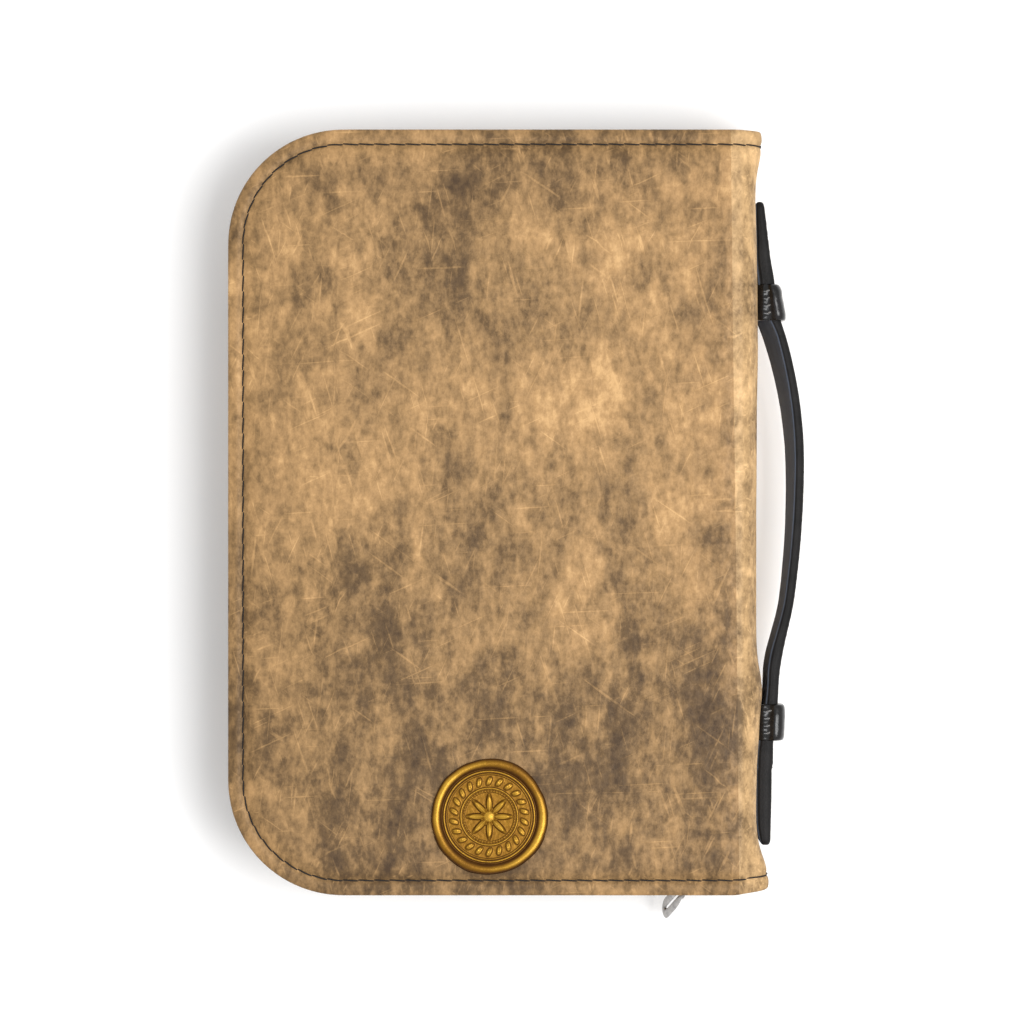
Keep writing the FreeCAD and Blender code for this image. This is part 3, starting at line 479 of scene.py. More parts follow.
def black_leather(name, gloss, grain_mm, base, rest=True, depth=0.1, backing=None, shine=0.5):
    """Black leather: pebble grain with fine creases; smooth and greyer where the attribute "backing" is 1."""
    paint = Paint(name, rest)
    pebble = paint.cells(grain_mm, feature="DISTANCE_TO_EDGE")
    fine = paint.noise(grain_mm * 0.4, 3, 0.6)
    rub = paint.noise(9, 3, 0.6, None, 0.3, 4.0)
    height = sum_of(paint, (paint.math("MINIMUM", pebble, 0.28), 1.6), (fine, 0.5))
    dark, pale = srgb(*(c * 0.72 for c in base)), srgb(*(c * 1.35 for c in base))
    colour = paint.mix(paint.level(rub, 0.35, 0.7), dark, pale)
    rough = paint.level(fine, 0.3, 0.7, gloss - 0.07, gloss + 0.1)
    if backing:
        smooth_side = paint.value("backing")
        streak = paint.noise(3, 3, 0.6, paint.stretch(1.0, 0.1, 1.0), 0.0, 6.0)
        grey = paint.mix(streak, srgb(*(c * 0.85 for c in backing)), srgb(*(c * 1.12 for c in backing)))
        colour = paint.mix(smooth_side, colour, grey)
        rough = paint.math("ADD", rough, paint.math("MULTIPLY", smooth_side, 0.2))
        grained = paint.math("SUBTRACT", 1.0, paint.math("MULTIPLY", smooth_side, 0.8))
        height = paint.math("MULTIPLY", height, grained)
    paint.set(Base_Color=colour, Roughness=rough, Specular_IOR_Level=shine)
    paint.bump(height, depth, 0.5)
    return paint.material


def woven(name, base, thread_mm, rest=True, sheen=0.25, ribs=1.0):
    """Plain weave: over-and-under threads along the two main directions of any face."""
    paint = Paint(name, rest)
    x, y, z = paint.split()
    step = math.pi * 1000 / thread_mm
    first = paint.math("SINE", paint.math("MULTIPLY", paint.math("ADD", x, z), step * ribs))
    second = paint.math("SINE", paint.math("MULTIPLY", paint.math("ADD", y, z), step))
    weave = paint.math("MULTIPLY", first, second)
    fuzz = paint.noise(thread_mm * 0.7, 3, 0.7)
    tone = paint.noise(22, 4, 0.6, None, 0.2, 2.0)
    height = sum_of(paint, (weave, 0.5), (fuzz, 0.6))
    dark = srgb(*(c * 0.7 for c in base))
    pale = srgb(*(min(255, c * 1.3 + 4) for c in base))
    share = sum_of(paint, (paint.level(weave, -1, 1), 0.45), (tone, 0.4), (fuzz, 0.25))
    paint.set(Base_Color=paint.mix(share, dark, pale), Roughness=paint.level(fuzz, 0.2, 0.8, 0.72, 0.88),
              Sheen_Weight=sheen, Sheen_Roughness=0.5, Specular_IOR_Level=0.2)
    paint.bump(height, 0.08, 0.7)
    return paint.material


def thread(name, base, rough):
    """Waxed twisted thread."""
    paint = Paint(name)
    x, y, z = paint.split()
    turns_per_metre = 1000 / 0.7
    way = sum_of(paint, (x, 1.0), (y, 1.0), (z, 1.7))
    twist = paint.math("SINE", paint.math("MULTIPLY", way, math.tau * turns_per_metre))
    fuzz = paint.noise(0.5, 3, 0.7)
    share = sum_of(paint, (paint.level(twist, -1, 1), 0.6), (fuzz, 0.5))
    paint.set(Base_Color=paint.mix(share, srgb(*(c * 0.6 for c in base)), srgb(*(c * 1.5 for c in base))),
              Roughness=paint.level(fuzz, 0.2, 0.8, rough - 0.1, rough + 0.1))
    paint.bump(sum_of(paint, (twist, 0.5), (fuzz, 0.4)), 0.09, 0.8)
    return paint.material


def plated_metal(name="zip_metal", rest=True):
    """Polished plated zinc with fine scratches and dull low spots."""
    paint = Paint(name, rest)
    scratch = paint.noise(1.1, 4, 0.7, paint.stretch(1.0, 0.2, 1.0, 0.6), 0.2, 3.0)
    cloud = paint.noise(5, 3, 0.6, None, 0.2, 8.0)
    paint.set(Base_Color=paint.mix(paint.level(cloud, 0.3, 0.7), srgb(128, 126, 124), srgb(172, 169, 166)),
              Roughness=sum_of(paint, (scratch, 0.30), (cloud, 0.30)), Metallic=1.0)
    paint.bump(scratch, 0.02, 0.4)
    return paint.material


def plastic_coil(name="zip_coil"):
    """Dark nylon with a fine, uneven gloss."""
    paint = Paint(name)
    fine = paint.noise(0.6, 3, 0.6)
    paint.set(Base_Color=paint.mix(fine, srgb(36, 33, 30), srgb(66, 61, 56)),
              Roughness=paint.level(fine, 0.3, 0.7, 0.32, 0.5))
    paint.bump(fine, 0.02, 0.5)
    return paint.material


def antique_gold(name="seal_gold"):
    """Gold paint over a cast seal: dark brown in the recesses, bright on the rubbed high places; the relief
    attribute also carries painted highlights at two opposite sides of the seal's rim.
    """
    paint = Paint(name)
    relief = paint.value("relief")
    cloud = paint.noise(3.2, 4, 0.65, None, 0.3, 6.0)
    fine = paint.noise(0.55, 3, 0.65, None, 0.0, 2.0)
    pits = paint.cells(0.8)
    share = sum_of(paint, (relief, 1.0), (cloud, 0.36), (fine, 0.20))
    colour = paint.ramp(paint.math("SUBTRACT", share, 0.28), (0.0, srgb(58, 32, 8)), (0.22, srgb(86, 54, 12)),
                        (0.47, srgb(120, 83, 18)), (0.9, srgb(182, 140, 48)))
    paint.set(Base_Color=colour, Metallic=0.45, Roughness=paint.level(share, 0.2, 1.1, 0.5, 0.34),
              Specular_IOR_Level=0.15)
    paint.bump(sum_of(paint, (fine, 0.6), (cloud, 0.7), (pits, 0.25)), 0.12, 0.55)
    return paint.material


def paper_pages(name="page_paper", rest=True):
    """Thin cream paper; gilt where the attribute "gilt" is 1, with the fine lines of the page edges."""
    paint = Paint(name, rest)
    gilt = paint.value("gilt")
    fibre = paint.noise(0.9, 4, 0.7)
    cloud = paint.noise(40, 4, 0.6)
    leaf = paint.noise(0.16, 2, 0.6, paint.stretch(0.004, 0.004, 1.0), 0.0, 3.0)
    gather = paint.noise(1.3, 2, 0.5, paint.stretch(0.002, 0.002, 1.0), 0.0, 5.0)
    page = paint.mix(sum_of(paint, (cloud, 0.7), (fibre, 0.3)), srgb(178, 168, 144), srgb(202, 194, 174))
    lines = sum_of(paint, (leaf, 0.6), (gather, 0.5))
    gold = paint.mix(paint.level(lines, 0.3, 0.8), srgb(156, 116, 46), srgb(226, 188, 108))
    paint.set(Base_Color=paint.mix(gilt, page, gold),
              Metallic=paint.math("MULTIPLY", gilt, 0.45),
              Roughness=paint.level(gilt, 0.0, 1.0, 0.85, 0.38))
    height = paint.math("ADD", paint.math("MULTIPLY", lines, gilt), paint.math("MULTIPLY", fibre, 0.12))
    paint.bump(height, 0.08, 0.6)
    return paint.material


def satin(name, base):
    """Glossy ribbon with fine lengthwise threads."""
    paint = Paint(name)
    threads_per_metre = 1000 / 0.22
    warp = paint.math("SINE", paint.math("MULTIPLY", paint.split()[0], math.tau * threads_per_metre))
    pick = paint.noise(0.4, 2, 0.6, paint.stretch(1.0, 0.2, 1.0))
    dark, pale = srgb(*(c * 0.7 for c in base)), srgb(*(min(255, c * 1.35) for c in base))
    paint.set(Base_Color=paint.mix(pick, dark, pale), Roughness=paint.level(pick, 0.2, 0.8, 0.28, 0.45),
              Sheen_Weight=0.4, Specular_IOR_Level=0.5)
    paint.bump(sum_of(paint, (warp, 0.3), (pick, 0.5)), 0.03, 0.5)
    return paint.material


def board_card(name="board_card"):
    """Pressed grey-brown card with visible fibres."""
    paint = Paint(name, rest=False)
    fibre = paint.noise(0.8, 4, 0.7)
    cloud = paint.noise(14, 3, 0.6)
    share = sum_of(paint, (fibre, 0.6), (cloud, 0.4))
    paint.set(Base_Color=paint.mix(share, srgb(120, 108, 92), srgb(176, 164, 146)), Roughness=0.9)
    paint.bump(fibre, 0.05, 0.5)
    return paint.material


def soft_foam(name="foam"):
    """Cream foam with open cells."""
    paint = Paint(name)
    cell = paint.cells(0.7)
    cloud = paint.noise(9, 3, 0.6)
    share = sum_of(paint, (cell, 0.5), (cloud, 0.5))
    paint.set(Base_Color=paint.mix(share, srgb(206, 200, 184), srgb(234, 230, 218)), Roughness=0.95)
    paint.bump(cell, 0.1, 0.6)
    return paint.material


MATERIALS = {}


def make_materials():
    MATERIALS.update(
        case_leather=case_leather(),
        band_leather=case_leather("band_leather", rest=False),
        strap=black_leather("strap_leather", 0.56, 1.0, (21, 20, 20), backing=(92, 102, 119), shine=0.15),
        keeper=black_leather("keeper_leather", 0.20, 0.8, (18, 17, 17), depth=0.05, shine=0.36),
        book_cover=black_leather("book_cover", 0.42, 0.8, (30, 28, 29), rest=False),
        book_cover_rest=black_leather("book_cover_spine", 0.42, 0.8, (30, 28, 29)),
        lining=woven("lining_fabric", (30, 29, 30), 0.5, rest=False),
        lining_rest=woven("lining_fabric_hinge", (30, 29, 30), 0.5),
        mull=woven("mull_gauze", (190, 182, 160), 1.1, rest=False, sheen=0.1),
        tape=woven("zip_tape", (40, 37, 34), 0.6, rest=False),
        elastic=woven("elastic", (26, 25, 26), 0.8, ribs=0.5),
        stitch=thread("case_thread", (16, 9, 5), rough=0.8),
        strap_thread=thread("strap_thread", (60, 59, 60), rough=0.3),
        metal=plated_metal(),
        stop_metal=plated_metal("stop_metal", rest=False),
        coil=plastic_coil(),
        gold=antique_gold(),
        pages=paper_pages(),
        flyleaf=paper_pages("flyleaf_paper", rest=False),
        ribbon=satin("ribbon", (150, 22, 30)),
        headband=woven("headband", (178, 138, 62), 0.9, ribs=0.4),
        board=board_card(),
        foam_rest=soft_foam(),
        waxed_thread=thread("waxed_thread", (88, 87, 86), rough=0.22))


CAD_FINISH = {
    "band_leather": ("front_side_band", "back_side_band"),
    "board": ("front_cover_board", "back_cover_board", "spine_board"),
    "lining": ("front_cover_lining", "back_cover_lining", "front_pocket_sleeve", "back_pocket_sleeve",
               "spine_lining"),
    "mull": ("bible_spine_mull",),
    "tape": ("front_zip_tape", "back_zip_tape"),
    "book_cover": ("front_bible_cover", "back_bible_cover"),
    "stop_metal": ("front_zip_stops", "back_zip_stops"),
    "flyleaf": ("front_flyleaf", "back_flyleaf"),
}


def finish_cad_nodes():
    """Materials for the CAD nodes that no piece replaces."""
    for key, nodes in CAD_FINISH.items():
        for node in nodes:
            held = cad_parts[node]
            held.data.materials.clear()
            held.data.materials.append(MATERIALS[key])
            held.data.polygons.foreach_set("use_smooth", [False] * len(held.data.polygons))


# ---------------------------------------------------------------- leather of the covers
DRAWN_IN = {1: 0.6 * MM, -1: 2.1 * MM}


def spine_swell(y):
    """How far the spine's leather stands out of its plane, where the hem and the keepers pull it."""
    return (6.1 * bell(y, -131 * MM, 12 * MM) + 3.6 * bell(y, 132 * MM, 11 * MM)
            + 1.9 * bell(y, -62 * MM, 9 * MM) + 0.9 * bell(y, -77 * MM, 10 * MM)
            + 0.5 * bell(y, 60 * MM, 25 * MM)) * MM


def hem_profile(inset, hole):
    """Height of the outer surface over the nominal face: round hem edge, sewn valley, swelling field."""
    edge, hem_top, valley = 1.1 * MM, -1.75 * MM, (-2.05 - 0.3 * hole) * MM
    if inset < edge:
        return hem_top - edge * (1 - math.sqrt(max(0.0, 1 - (1 - inset / edge) ** 2)))
    crest = 0.25 * MM * math.sin(math.pi * min(1.0, (inset - edge) / (STITCH_INSET - edge)))
    if inset <= STITCH_INSET:
        return hem_top + crest + (valley - hem_top) * smooth(inset, STITCH_INSET - 1.6 * MM, STITCH_INSET)
    rise = 1 - math.exp(-(inset - STITCH_INSET) / (2.2 * MM))
    return valley + rise * (-0.45 * MM - valley) + 1.1 * MM * smooth(inset, 7 * MM, 42 * MM)


def hem_under(inset, deep):
    """Height of the inner surface over the nominal face: a hem's thickness down, then a leather's."""
    edge, start, lining = 1.1 * MM, -2.85 * MM, -1.25 * MM
    under = start + (deep - start) * math.sqrt(max(0.0, 1 - (1 - min(inset, edge) / edge) ** 2))
    return under + (lining - under) * smooth(inset, HEM + 0.2 * MM, HEM + 2.2 * MM)


def section(travelled, side, y):
    """Point and normal on the nominal skin at a distance along its section, from cover to spine."""
    quarter = ROUND * math.pi / 2
    swell = spine_swell(y)
    if travelled <= FLAT_END:
        x, z, nx, nz = travelled, THICK, 0.0, 1.0
    elif travelled <= FLAT_END + quarter:
        angle = (travelled - FLAT_END) / ROUND
        x = FLAT_END + ROUND * math.sin(angle) + swell * smooth(angle, 0.5, math.pi / 2)
        z = THICK - ROUND * (1 - math.cos(angle))
        nx, nz = math.sin(angle), math.cos(angle)
    else:
        x, z, nx, nz = SPINE + swell, THICK - ROUND - (travelled - FLAT_END - quarter), 1.0, 0.0
    return Vector((x, y, mirror(side, z))), Vector((nx, 0, nz if side == BACK else -nz))


def end_y(travelled, inset, sign):
    """The y of a line at an inset from head or tail; the skin draws in as it turns onto the spine."""
    angle = min(math.pi / 2, max(0.0, (travelled - FLAT_END) / ROUND))
    drawn = DRAWN_IN[sign] * (1 - math.cos(angle))
    return sign * (HALF_Y - inset - drawn * (1 - smooth(inset, 0, CORNER)))


def skin_point(side, travelled, y, inset, outside=True, hole=0.0, proud=0.0):
    """Point on the leather; hole is 1 at a needle hole and 0 between two of them."""
    at, normal = section(travelled, side, y)
    turned = smooth(travelled, FLAT_END + 1 * MM, FLAT_END + 10 * MM)
    slack = 1 - 0.25 * turned
    if outside:
        large = noise.noise(at * 22 + Vector((3, 1, 7)))
        small = noise.noise(at * 70 + Vector((9, 4, 2)))
        wave = (0.22 * large + 0.10 * small) * MM * smooth(inset, 0.5 * MM, 4 * MM)
        crease = 0.5 * MM * bell(travelled, FLAT_END + 0.8 * MM, 1.0 * MM) * smooth(inset, 6 * MM, 12 * MM)
        height = hem_profile(inset, hole) * slack + wave - crease
        if side == FRONT:
            height = min(height, -0.02 * MM)
    else:
        height = hem_under(inset, (-4.0 + 0.4 * turned) * MM) * slack
    return at + normal * (height + proud)


SKIN_END = FLAT_END + ROUND * math.pi / 2 + MIDDLE - ROUND
HEM_STEPS = {"spine": 5, "straight": 25, "corner": 10, "upright": 34}


def hem_runs():
    """The sewn line in runs of places, tail to head; a place gives travel and y for an inset."""
    def across(sign, travelled):
        return lambda inset: (travelled, end_y(travelled, inset, sign))

    def around(sign, angle):
        return lambda inset: (INNER_X - (CORNER - inset) * math.sin(angle),
                              sign * (INNER_Y + (CORNER - inset) * math.cos(angle)))

    def up(y):
        return lambda inset: (LEFT + inset, y)

    ends = {}
    for sign in (-1, 1):
        ends[sign] = [[across(sign, t) for t in spread(SKIN_END, FLAT_END, HEM_STEPS["spine"] * 2 + 1)],
                      [across(sign, t) for t in spread(FLAT_END, INNER_X, HEM_STEPS["straight"] * 2 + 1)],
                      [around(sign, a) for a in spread(0, math.pi / 2, HEM_STEPS["corner"] * 2 + 1)]]
    middle = [up(y) for y in spread(-INNER_Y, INNER_Y, HEM_STEPS["upright"] * 2 + 1)]
    return ends[-1] + [middle] + [run[::-1] for run in reversed(ends[1])]


def cover_skin(side):
    """Leather from the fore-edge hem over the padded cover and the round edge to the middle of the spine."""
    shape = Shape()
    insets = [v * MM for v in (0, 0.12, 0.4, 0.75, 1.1, 2.0, 3.1, 4.1, 4.8, 5.35, 5.9, 6.6, 7.6, 9.0, 11.0,
                               14.0, 18.5, 25.0, 32.0, 40.5)]
    quarter = ROUND * math.pi / 2
    columns = spread(INNER_X, FLAT_END, HEM_STEPS["straight"] * 2 + 1)
    columns += [FLAT_END + quarter * share for share in spread(0, 1, 11)][1:]
    columns += [FLAT_END + quarter + (MIDDLE - ROUND) * share for share in (0.2, 0.4, 0.6, 0.8, 0.97, 1)]
    rows = spread(-INNER_Y, INNER_Y, HEM_STEPS["upright"] * 2 + 1)

    def vertex(travelled, y, inset, outside, number=1):
        return shape.add(skin_point(side, travelled, y, inset, outside, hole=1 - number % 2))

    fan = hem_runs()[2]
    for outside in (True, False):
        shape.grid([[vertex(s, y, CORNER, outside) for s in columns] for y in rows])
        shape.grid([[vertex(LEFT + inset, y, inset, outside, n) for n, y in enumerate(rows)]
                    for inset in insets])
        for sign in (-1, 1):
            shape.grid([[vertex(s, end_y(s, inset, sign), inset, outside, n) for n, s in enumerate(columns)]
                        for inset in insets])
            shape.grid([[vertex(place(inset)[0], -sign * place(inset)[1], inset, outside, n)
                         for n, place in enumerate(fan)] for inset in insets])
    last_y = [end_y(SKIN_END, inset, -1) for inset in insets] + rows[1:-1]
    last_y += [end_y(SKIN_END, inset, 1) for inset in reversed(insets)]
    last_inset = insets + [CORNER] * (len(rows) - 2) + insets[::-1]
    number = len(columns) - 1
    shape.grid([[vertex(SKIN_END, y, inset, outside, number) for y, inset in zip(last_y, last_inset)]
                for outside in (True, False)])
    made = shape.piece(f"{side}_case_skin", "case_leather", "case_leather", levels=1)
    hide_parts(f"{side}_cover_leather", "spine_leather")
    join_spine(made)


def join_spine(made):
    """Bakes a piece's placement into its mesh."""
    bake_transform(made)


def hem_stitches(side):
    """Waxed thread, one stitch from needle hole to needle hole, each lying a little aslant."""
    shape = Shape()
    slant = 0.20 * MM
    for run in hem_runs():
        for first in range(0, len(run) - 2, 2):
            path = []
            for share in (0, 0.04, 0.12, 0.3, 0.5, 0.7, 0.88, 0.96, 1):
                low = run[first + (0 if share < 0.5 else 1)]
                high = run[first + (1 if share < 0.5 else 2)]
                inset = STITCH_INSET + slant * (share - 0.5) * 2
                part = (share * 2) % 1 if share < 1 else 1
                travelled, y = (a + (b - a) * part for a, b in zip(low(inset), high(inset)))
                hole = abs(share - 0.5) * 2
                proud = (0.20 - 0.34 * hole ** 8) * MM
                path.append(skin_point(side, travelled, y, inset, hole=hole, proud=proud))
            normal = section(run[first + 1](STITCH_INSET)[0], side, 0)[1]
            tube(shape, path, 0.27 * MM, sides=6, up=normal)
    made = shape.piece(f"{side}_hem_stitches", "thread", "stitch")
    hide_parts(f"{side}_stitching")
    join_spine(made)


# ---------------------------------------------------------------- inside of the covers
def plan_grid(left, right, half, radius, columns, rows, bend=10 * MM):
    """Points in plan on a shape with two round fore-edge corners: columns of rows, closest over the bend."""
    corner = [left + radius * (1 - math.cos(a)) for a in spread(0, math.pi / 2, 7)][:-1]
    shares = [-1, -0.9975] + spread(-0.94, 0.94, rows) + [0.9975, 1]
    grid = []
    for x in corner + spread(left + radius, right - bend, columns) + spread(right - bend, right, 25)[1:]:
        sunk = max(0.0, left + radius - x)
        reach = half - radius + math.sqrt(max(0.0, radius ** 2 - sunk ** 2))
        grid.append([(x, reach * share) for share in shares])
    return grid


def slab(shape, grid, levels, move, **values):
    """A closed block: its plan grid at the lowest and highest level and walls through every level between."""
    def ring(level):
        edge = [column[0] for column in grid[::-1]] + grid[0][1:-1] + [column[-1] for column in grid]
        edge += grid[-1][-2:0:-1]
        return [shape.add(move(x, y, level, True), **values) for x, y in edge]

    for level in (levels[0], levels[-1]):
        inner = []
        for c, column in enumerate(grid):
            rim = c in (0, len(grid) - 1)
            inner.append([shape.add(move(x, y, level, rim or r in (0, len(column) - 1)))
                          for r, (x, y) in enumerate(column)])
        shape.grid(inner)
    shape.grid([ring(level) for level in levels], closed=True)


def cover_padding(side):
    """Foam sheet under the leather, full in the middle and pressed thin along its sewn edge."""
    low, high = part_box(f"{side}_cover_padding")
    inner_z, outer_z = (low.z, high.z) if side == BACK else (high.z, low.z)
    radius = CORNER - (low.x - LEFT)
    shape = Shape()

    def move(x, y, level, rim):
        edge = min(x - low.x, high.x - x, high.y - abs(y), 10 * MM)
        full = 0.45 + 0.55 * smooth(edge, 0, 9 * MM)
        lumps = 0.06 * noise.noise(Vector((x * 60, y * 60, 5)))
        return Vector((x, y, inner_z + (outer_z - inner_z) * level * (full + lumps * level)))

    slab(shape, plan_grid(low.x, high.x, high.y, radius, 26, 40), (0, 0.35, 0.7, 0.96), move)
    made = shape.piece(f"{side}_foam", "padding_foam", "foam_rest")
    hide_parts(f"{side}_cover_padding")
    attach(made, f"{side}_cover")


def hinge_lining(side):
    """Strip of lining cloth that closes the inside of the hinge, from the cover's lining to the spine's."""
    thick = 0.22 * MM
    cover_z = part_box("back_cover_lining")[0].z - thick - 0.03 * MM
    spine_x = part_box("spine_lining")[0].x - thick - 0.03 * MM
    turn = 1.6 * MM
    path = [(x, cover_z) for x in spread(76 * MM, spine_x - turn, 8)]
    path += [(spine_x - turn + turn * math.sin(a), cover_z - turn + turn * math.cos(a))
             for a in spread(0, math.pi / 2, 7)][1:]
    path += [(spine_x, z) for z in spread(cover_z - turn, 34 * MM, 6)][1:]
    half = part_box("spine_lining")[1].y - 2 * MM
    rows = [[Vector((x, y, mirror(side, z))) for x, z in path] for y in spread(-half, half, 36)]

    def out(_, column):
        here, there = path[max(0, column - 1)], path[min(len(path) - 1, column + 1)]
        along = Vector((there[0] - here[0], 0, there[1] - here[1])).normalized()
        return Vector((-along.z, 0, along.x if side == BACK else -along.x))

    shape = Shape()
    shape.solid_sheet(rows, thick, out)
    made = shape.piece(f"{side}_hinge_lining", "lining_fabric", "lining_rest")
    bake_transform(made)


# ---------------------------------------------------------------- zip
COIL_LOOP = ((1.0, 0, -0.32), (1.02, 0.45, -0.25), (0.8, 0.88, -0.08), (0, 1, 0), (-0.8, 0.88, 0.08),
             (-1.02, 0.45, 0.25), (-1.0, 0, 0.32))


def zip_coil(side):
    """Nylon coil: loops over the edge of the tape that lock between the loops of the other half."""
    low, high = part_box(f"{side}_zip_coil")
    inset, pitch = HALF_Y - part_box(f"{side}_zip_tape")[1].y + 0.4 * MM, 1.5 * MM
    tip = MIDDLE + (0.35 if side == FRONT else -0.35) * MM
    foot = low.z - 0.2 * MM if side == FRONT else high.z + 0.2 * MM
    shift = 0 if side == FRONT else 1
    shape = Shape()
    for number, (at, out) in enumerate(round_run(inset, high.x - 1 * MM, pitch / 2)):
        if number % 2 != shift:
            continue
        along = Vector((-out.y, out.x, 0))
        path = []
        for across, up, forward in COIL_LOOP:
            on_tape = Vector((at.x, at.y, foot + (tip - foot) * up))
            path.append(on_tape + out * (across * MM) + along * (forward * MM))
        tube(shape, path, 0.33 * MM, sides=6, up=along)
    for across in (-1.02, 1.02):
        cord = [Vector((at.x, at.y, foot)) + out * (across * MM)
                for at, out in round_run(inset, high.x, 4 * MM)]
        tube(shape, cord, 0.36 * MM, sides=6)
    made = shape.piece(f"{side}_coil", "zip_coil", "coil")
    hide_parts(f"{side}_zip_coil")
    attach(made, f"{side}_cover")


def gusset(end):
    """Leather tab that closes the wall beside the spine, and its inner wing behind the end of the zip."""
    node = f"spine_gusset_{end}"
    low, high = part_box(node)
    sign = 1 if end == "head" else -1
    thick, outer_y = high.y - low.y, max(high.y, -low.y)
    tall, wing_y, wing_x = 3.2 * MM, outer_y - 1.9 * MM, low.x - 5.5 * MM
    swell = spine_swell(sign * outer_y)

    def row(z):
        far = abs(z - MIDDLE)
        pleat = 0.5 * MM * bell(z, MIDDLE, 5 * MM)
        tuck = (0.7 * MM + 0.2 * swell) * smooth(far, 15 * MM, 19 * MM)
        right = high.x + swell - (tuck + 2.6 * MM * smooth(far, 17.6 * MM, 20.2 * MM))
        points = [(x, wing_y) for x in spread(wing_x, low.x - 0.6 * MM, 5)]
        points += [(low.x + 0.2 * MM, outer_y - 1.1 * MM - pleat),
                   (low.x + 0.8 * MM, outer_y - 0.2 * MM - pleat)]
        points += [(x, outer_y - pleat * (1 - smooth(x, low.x, high.x)))
                   for x in spread(low.x + 2 * MM, right, 9)]
        return [Vector((x, sign * y, z)) for x, y in points]

    def inward(_, column):
        return Vector((0.6 if column in (5, 6) else 0, -sign, 0)).normalized()

    shape = Shape()
    shape.solid_sheet([row(z) for z in spread(low.z - tall, high.z + tall, 23)], thick * 0.6, inward)
    made = shape.piece(f"gusset_{end}", "case_leather", "case_leather", levels=1)
    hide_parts(node)
    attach(made, "spine")


def slider_plate(shape, centre_x, y_outer, y_inner, low_z, high_z, half_long):
    """One plate of the slider: shoulders at its mouth, a narrower tail, and rims that roll inward."""
    middle_z, half_tall = (low_z + high_z) / 2, (high_z - low_z) / 2
    outline, steps, roundness = [], 40, 0.55
    for step in range(steps):
        a = math.tau * step / steps
        x = half_long * math.copysign(abs(math.cos(a)) ** roundness, math.cos(a))
        narrow = 1 - 0.24 * smooth(x / half_long, -0.1, 1)
        z = half_tall * narrow * math.copysign(abs(math.sin(a)) ** roundness, math.sin(a))
        outline.append((x, z))
    thick = y_inner - y_outer
    rings = []
    for inset, depth in ((0.86, -0.10), (0.5, -0.03), (0.12, 0.0), (0.04, 0.12), (0.0, 0.4), (0.0, 0.75),
                         (0.05, 1.0), (0.5, 1.0)):
        reach, y = 1 - inset, y_outer + thick * depth
        rings.append([shape.add(Vector((centre_x + x * reach, y, middle_z + z * reach))) for x, z in outline])
    shape.grid(rings, closed=True)
    shape.face(*rings[0])
    shape.face(*rings[-1])


def zip_slider():
    """Cast slider: two plates, the post between them and a round bail that holds the puller."""
    low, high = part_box("zip_slider")
    x, rod = (low.x + high.x) / 2, 0.8 * MM
    face_y, slot = low.y + 0.8 * MM + 3.3 * MM, 3 * MM
    half = (high.x - low.x) / 2
    shape = Shape()
    slider_plate(shape, x, face_y, face_y + 1 * MM, low.z, high.z, half)
    slider_plate(shape, x, high.y, high.y - 1 * MM, low.z, high.z, half)
    post_x = x + half * 0.62
    tube(shape, [Vector((post_x, y, MIDDLE)) for y in (face_y + 0.6 * MM, face_y + slot, high.y - 0.6 * MM)],
         0.5 * MM, sides=12, up=Vector((1, 0, 0)))
    foot_x, top, bend = x - 3.6 * MM, low.y + rod, 1.3 * MM
    arch = [Vector((foot_x, face_y + 0.5 * MM, MIDDLE)), Vector((foot_x, top + 1.6 * MM, MIDDLE))]
    arch += [Vector((foot_x + bend * (1 - math.cos(a)), top + bend * (1 - math.sin(a)), MIDDLE))
             for a in spread(0.2, math.pi / 2, 5)]
    arch += [Vector((2 * x - p.x, p.y, p.z)) for p in reversed(arch)]
    tube(shape, arch, [rod * 1.25] * 2 + [rod] * (len(arch) - 4) + [rod * 1.25] * 2, sides=12)
    made = shape.piece("slider_casting", "zip_metal", "metal", levels=1)
    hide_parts("zip_slider")
    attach(made, "slider")


PULLER_TURN = (("Z", 180 + 53.6), ("Y", 59.0), ("X", 53.0))


def zip_puller():
    """Wire puller: an eye round the bail and two arms that close in a round end."""
    low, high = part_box("zip_slider")
    pivot = Vector((low.x / 2 + high.x / 2, low.y + 0.8 * MM, MIDDLE))
    turn = Matrix.Identity(3)
    for axis, degrees in PULLER_TURN:
        turn = turn @ Matrix.Rotation(math.radians(degrees), 3, axis)
    eye_x, eye, end_x, end_rad = 0.55 * MM, 2.35 * MM, 17.9 * MM, 2.25 * MM
    thin, wide = 0.9 * MM, 1.75 * MM
    waist = [(eye_x + eye * math.cos(a), eye * math.sin(a))
             for a in spread(math.radians(60), math.radians(300), 15)]
    tip = [(end_x + end_rad * math.cos(a), end_rad * math.sin(a))
           for a in spread(-math.pi / 2, math.pi / 2, 13)]
    neck = [(eye_x + eye + 1.2 * MM, -1.6 * MM), (eye_x + eye + 3.4 * MM, -2.15 * MM),
            (end_x - 4 * MM, -end_rad)]
    route = waist + neck + tip + [(a, -b) for a, b in reversed(neck)]
    widths = [thin + (wide - thin) * smooth(a, eye_x + eye, eye_x + eye + 3 * MM) for a, _ in route]
    shape, up = Shape(), turn @ Vector((0, 0, 1))
    loop = [pivot + turn @ Vector((a, b, 0)) for a, b in route]
    tube(shape, loop, widths, sides=10, closed=True, squash=0.42, up=up)
    bridge_x, reach = eye_x + eye + 0.7 * MM, 1.7 * MM
    bridge = [pivot + turn @ Vector((bridge_x, b, 0)) for b in (-reach, 0, reach)]
    tube(shape, bridge, thin * 0.8, sides=10, squash=0.75, up=up)
    made = shape.piece("puller_wire", "zip_metal", "metal", levels=1)
    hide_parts("zip_puller")
    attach(made, "puller")


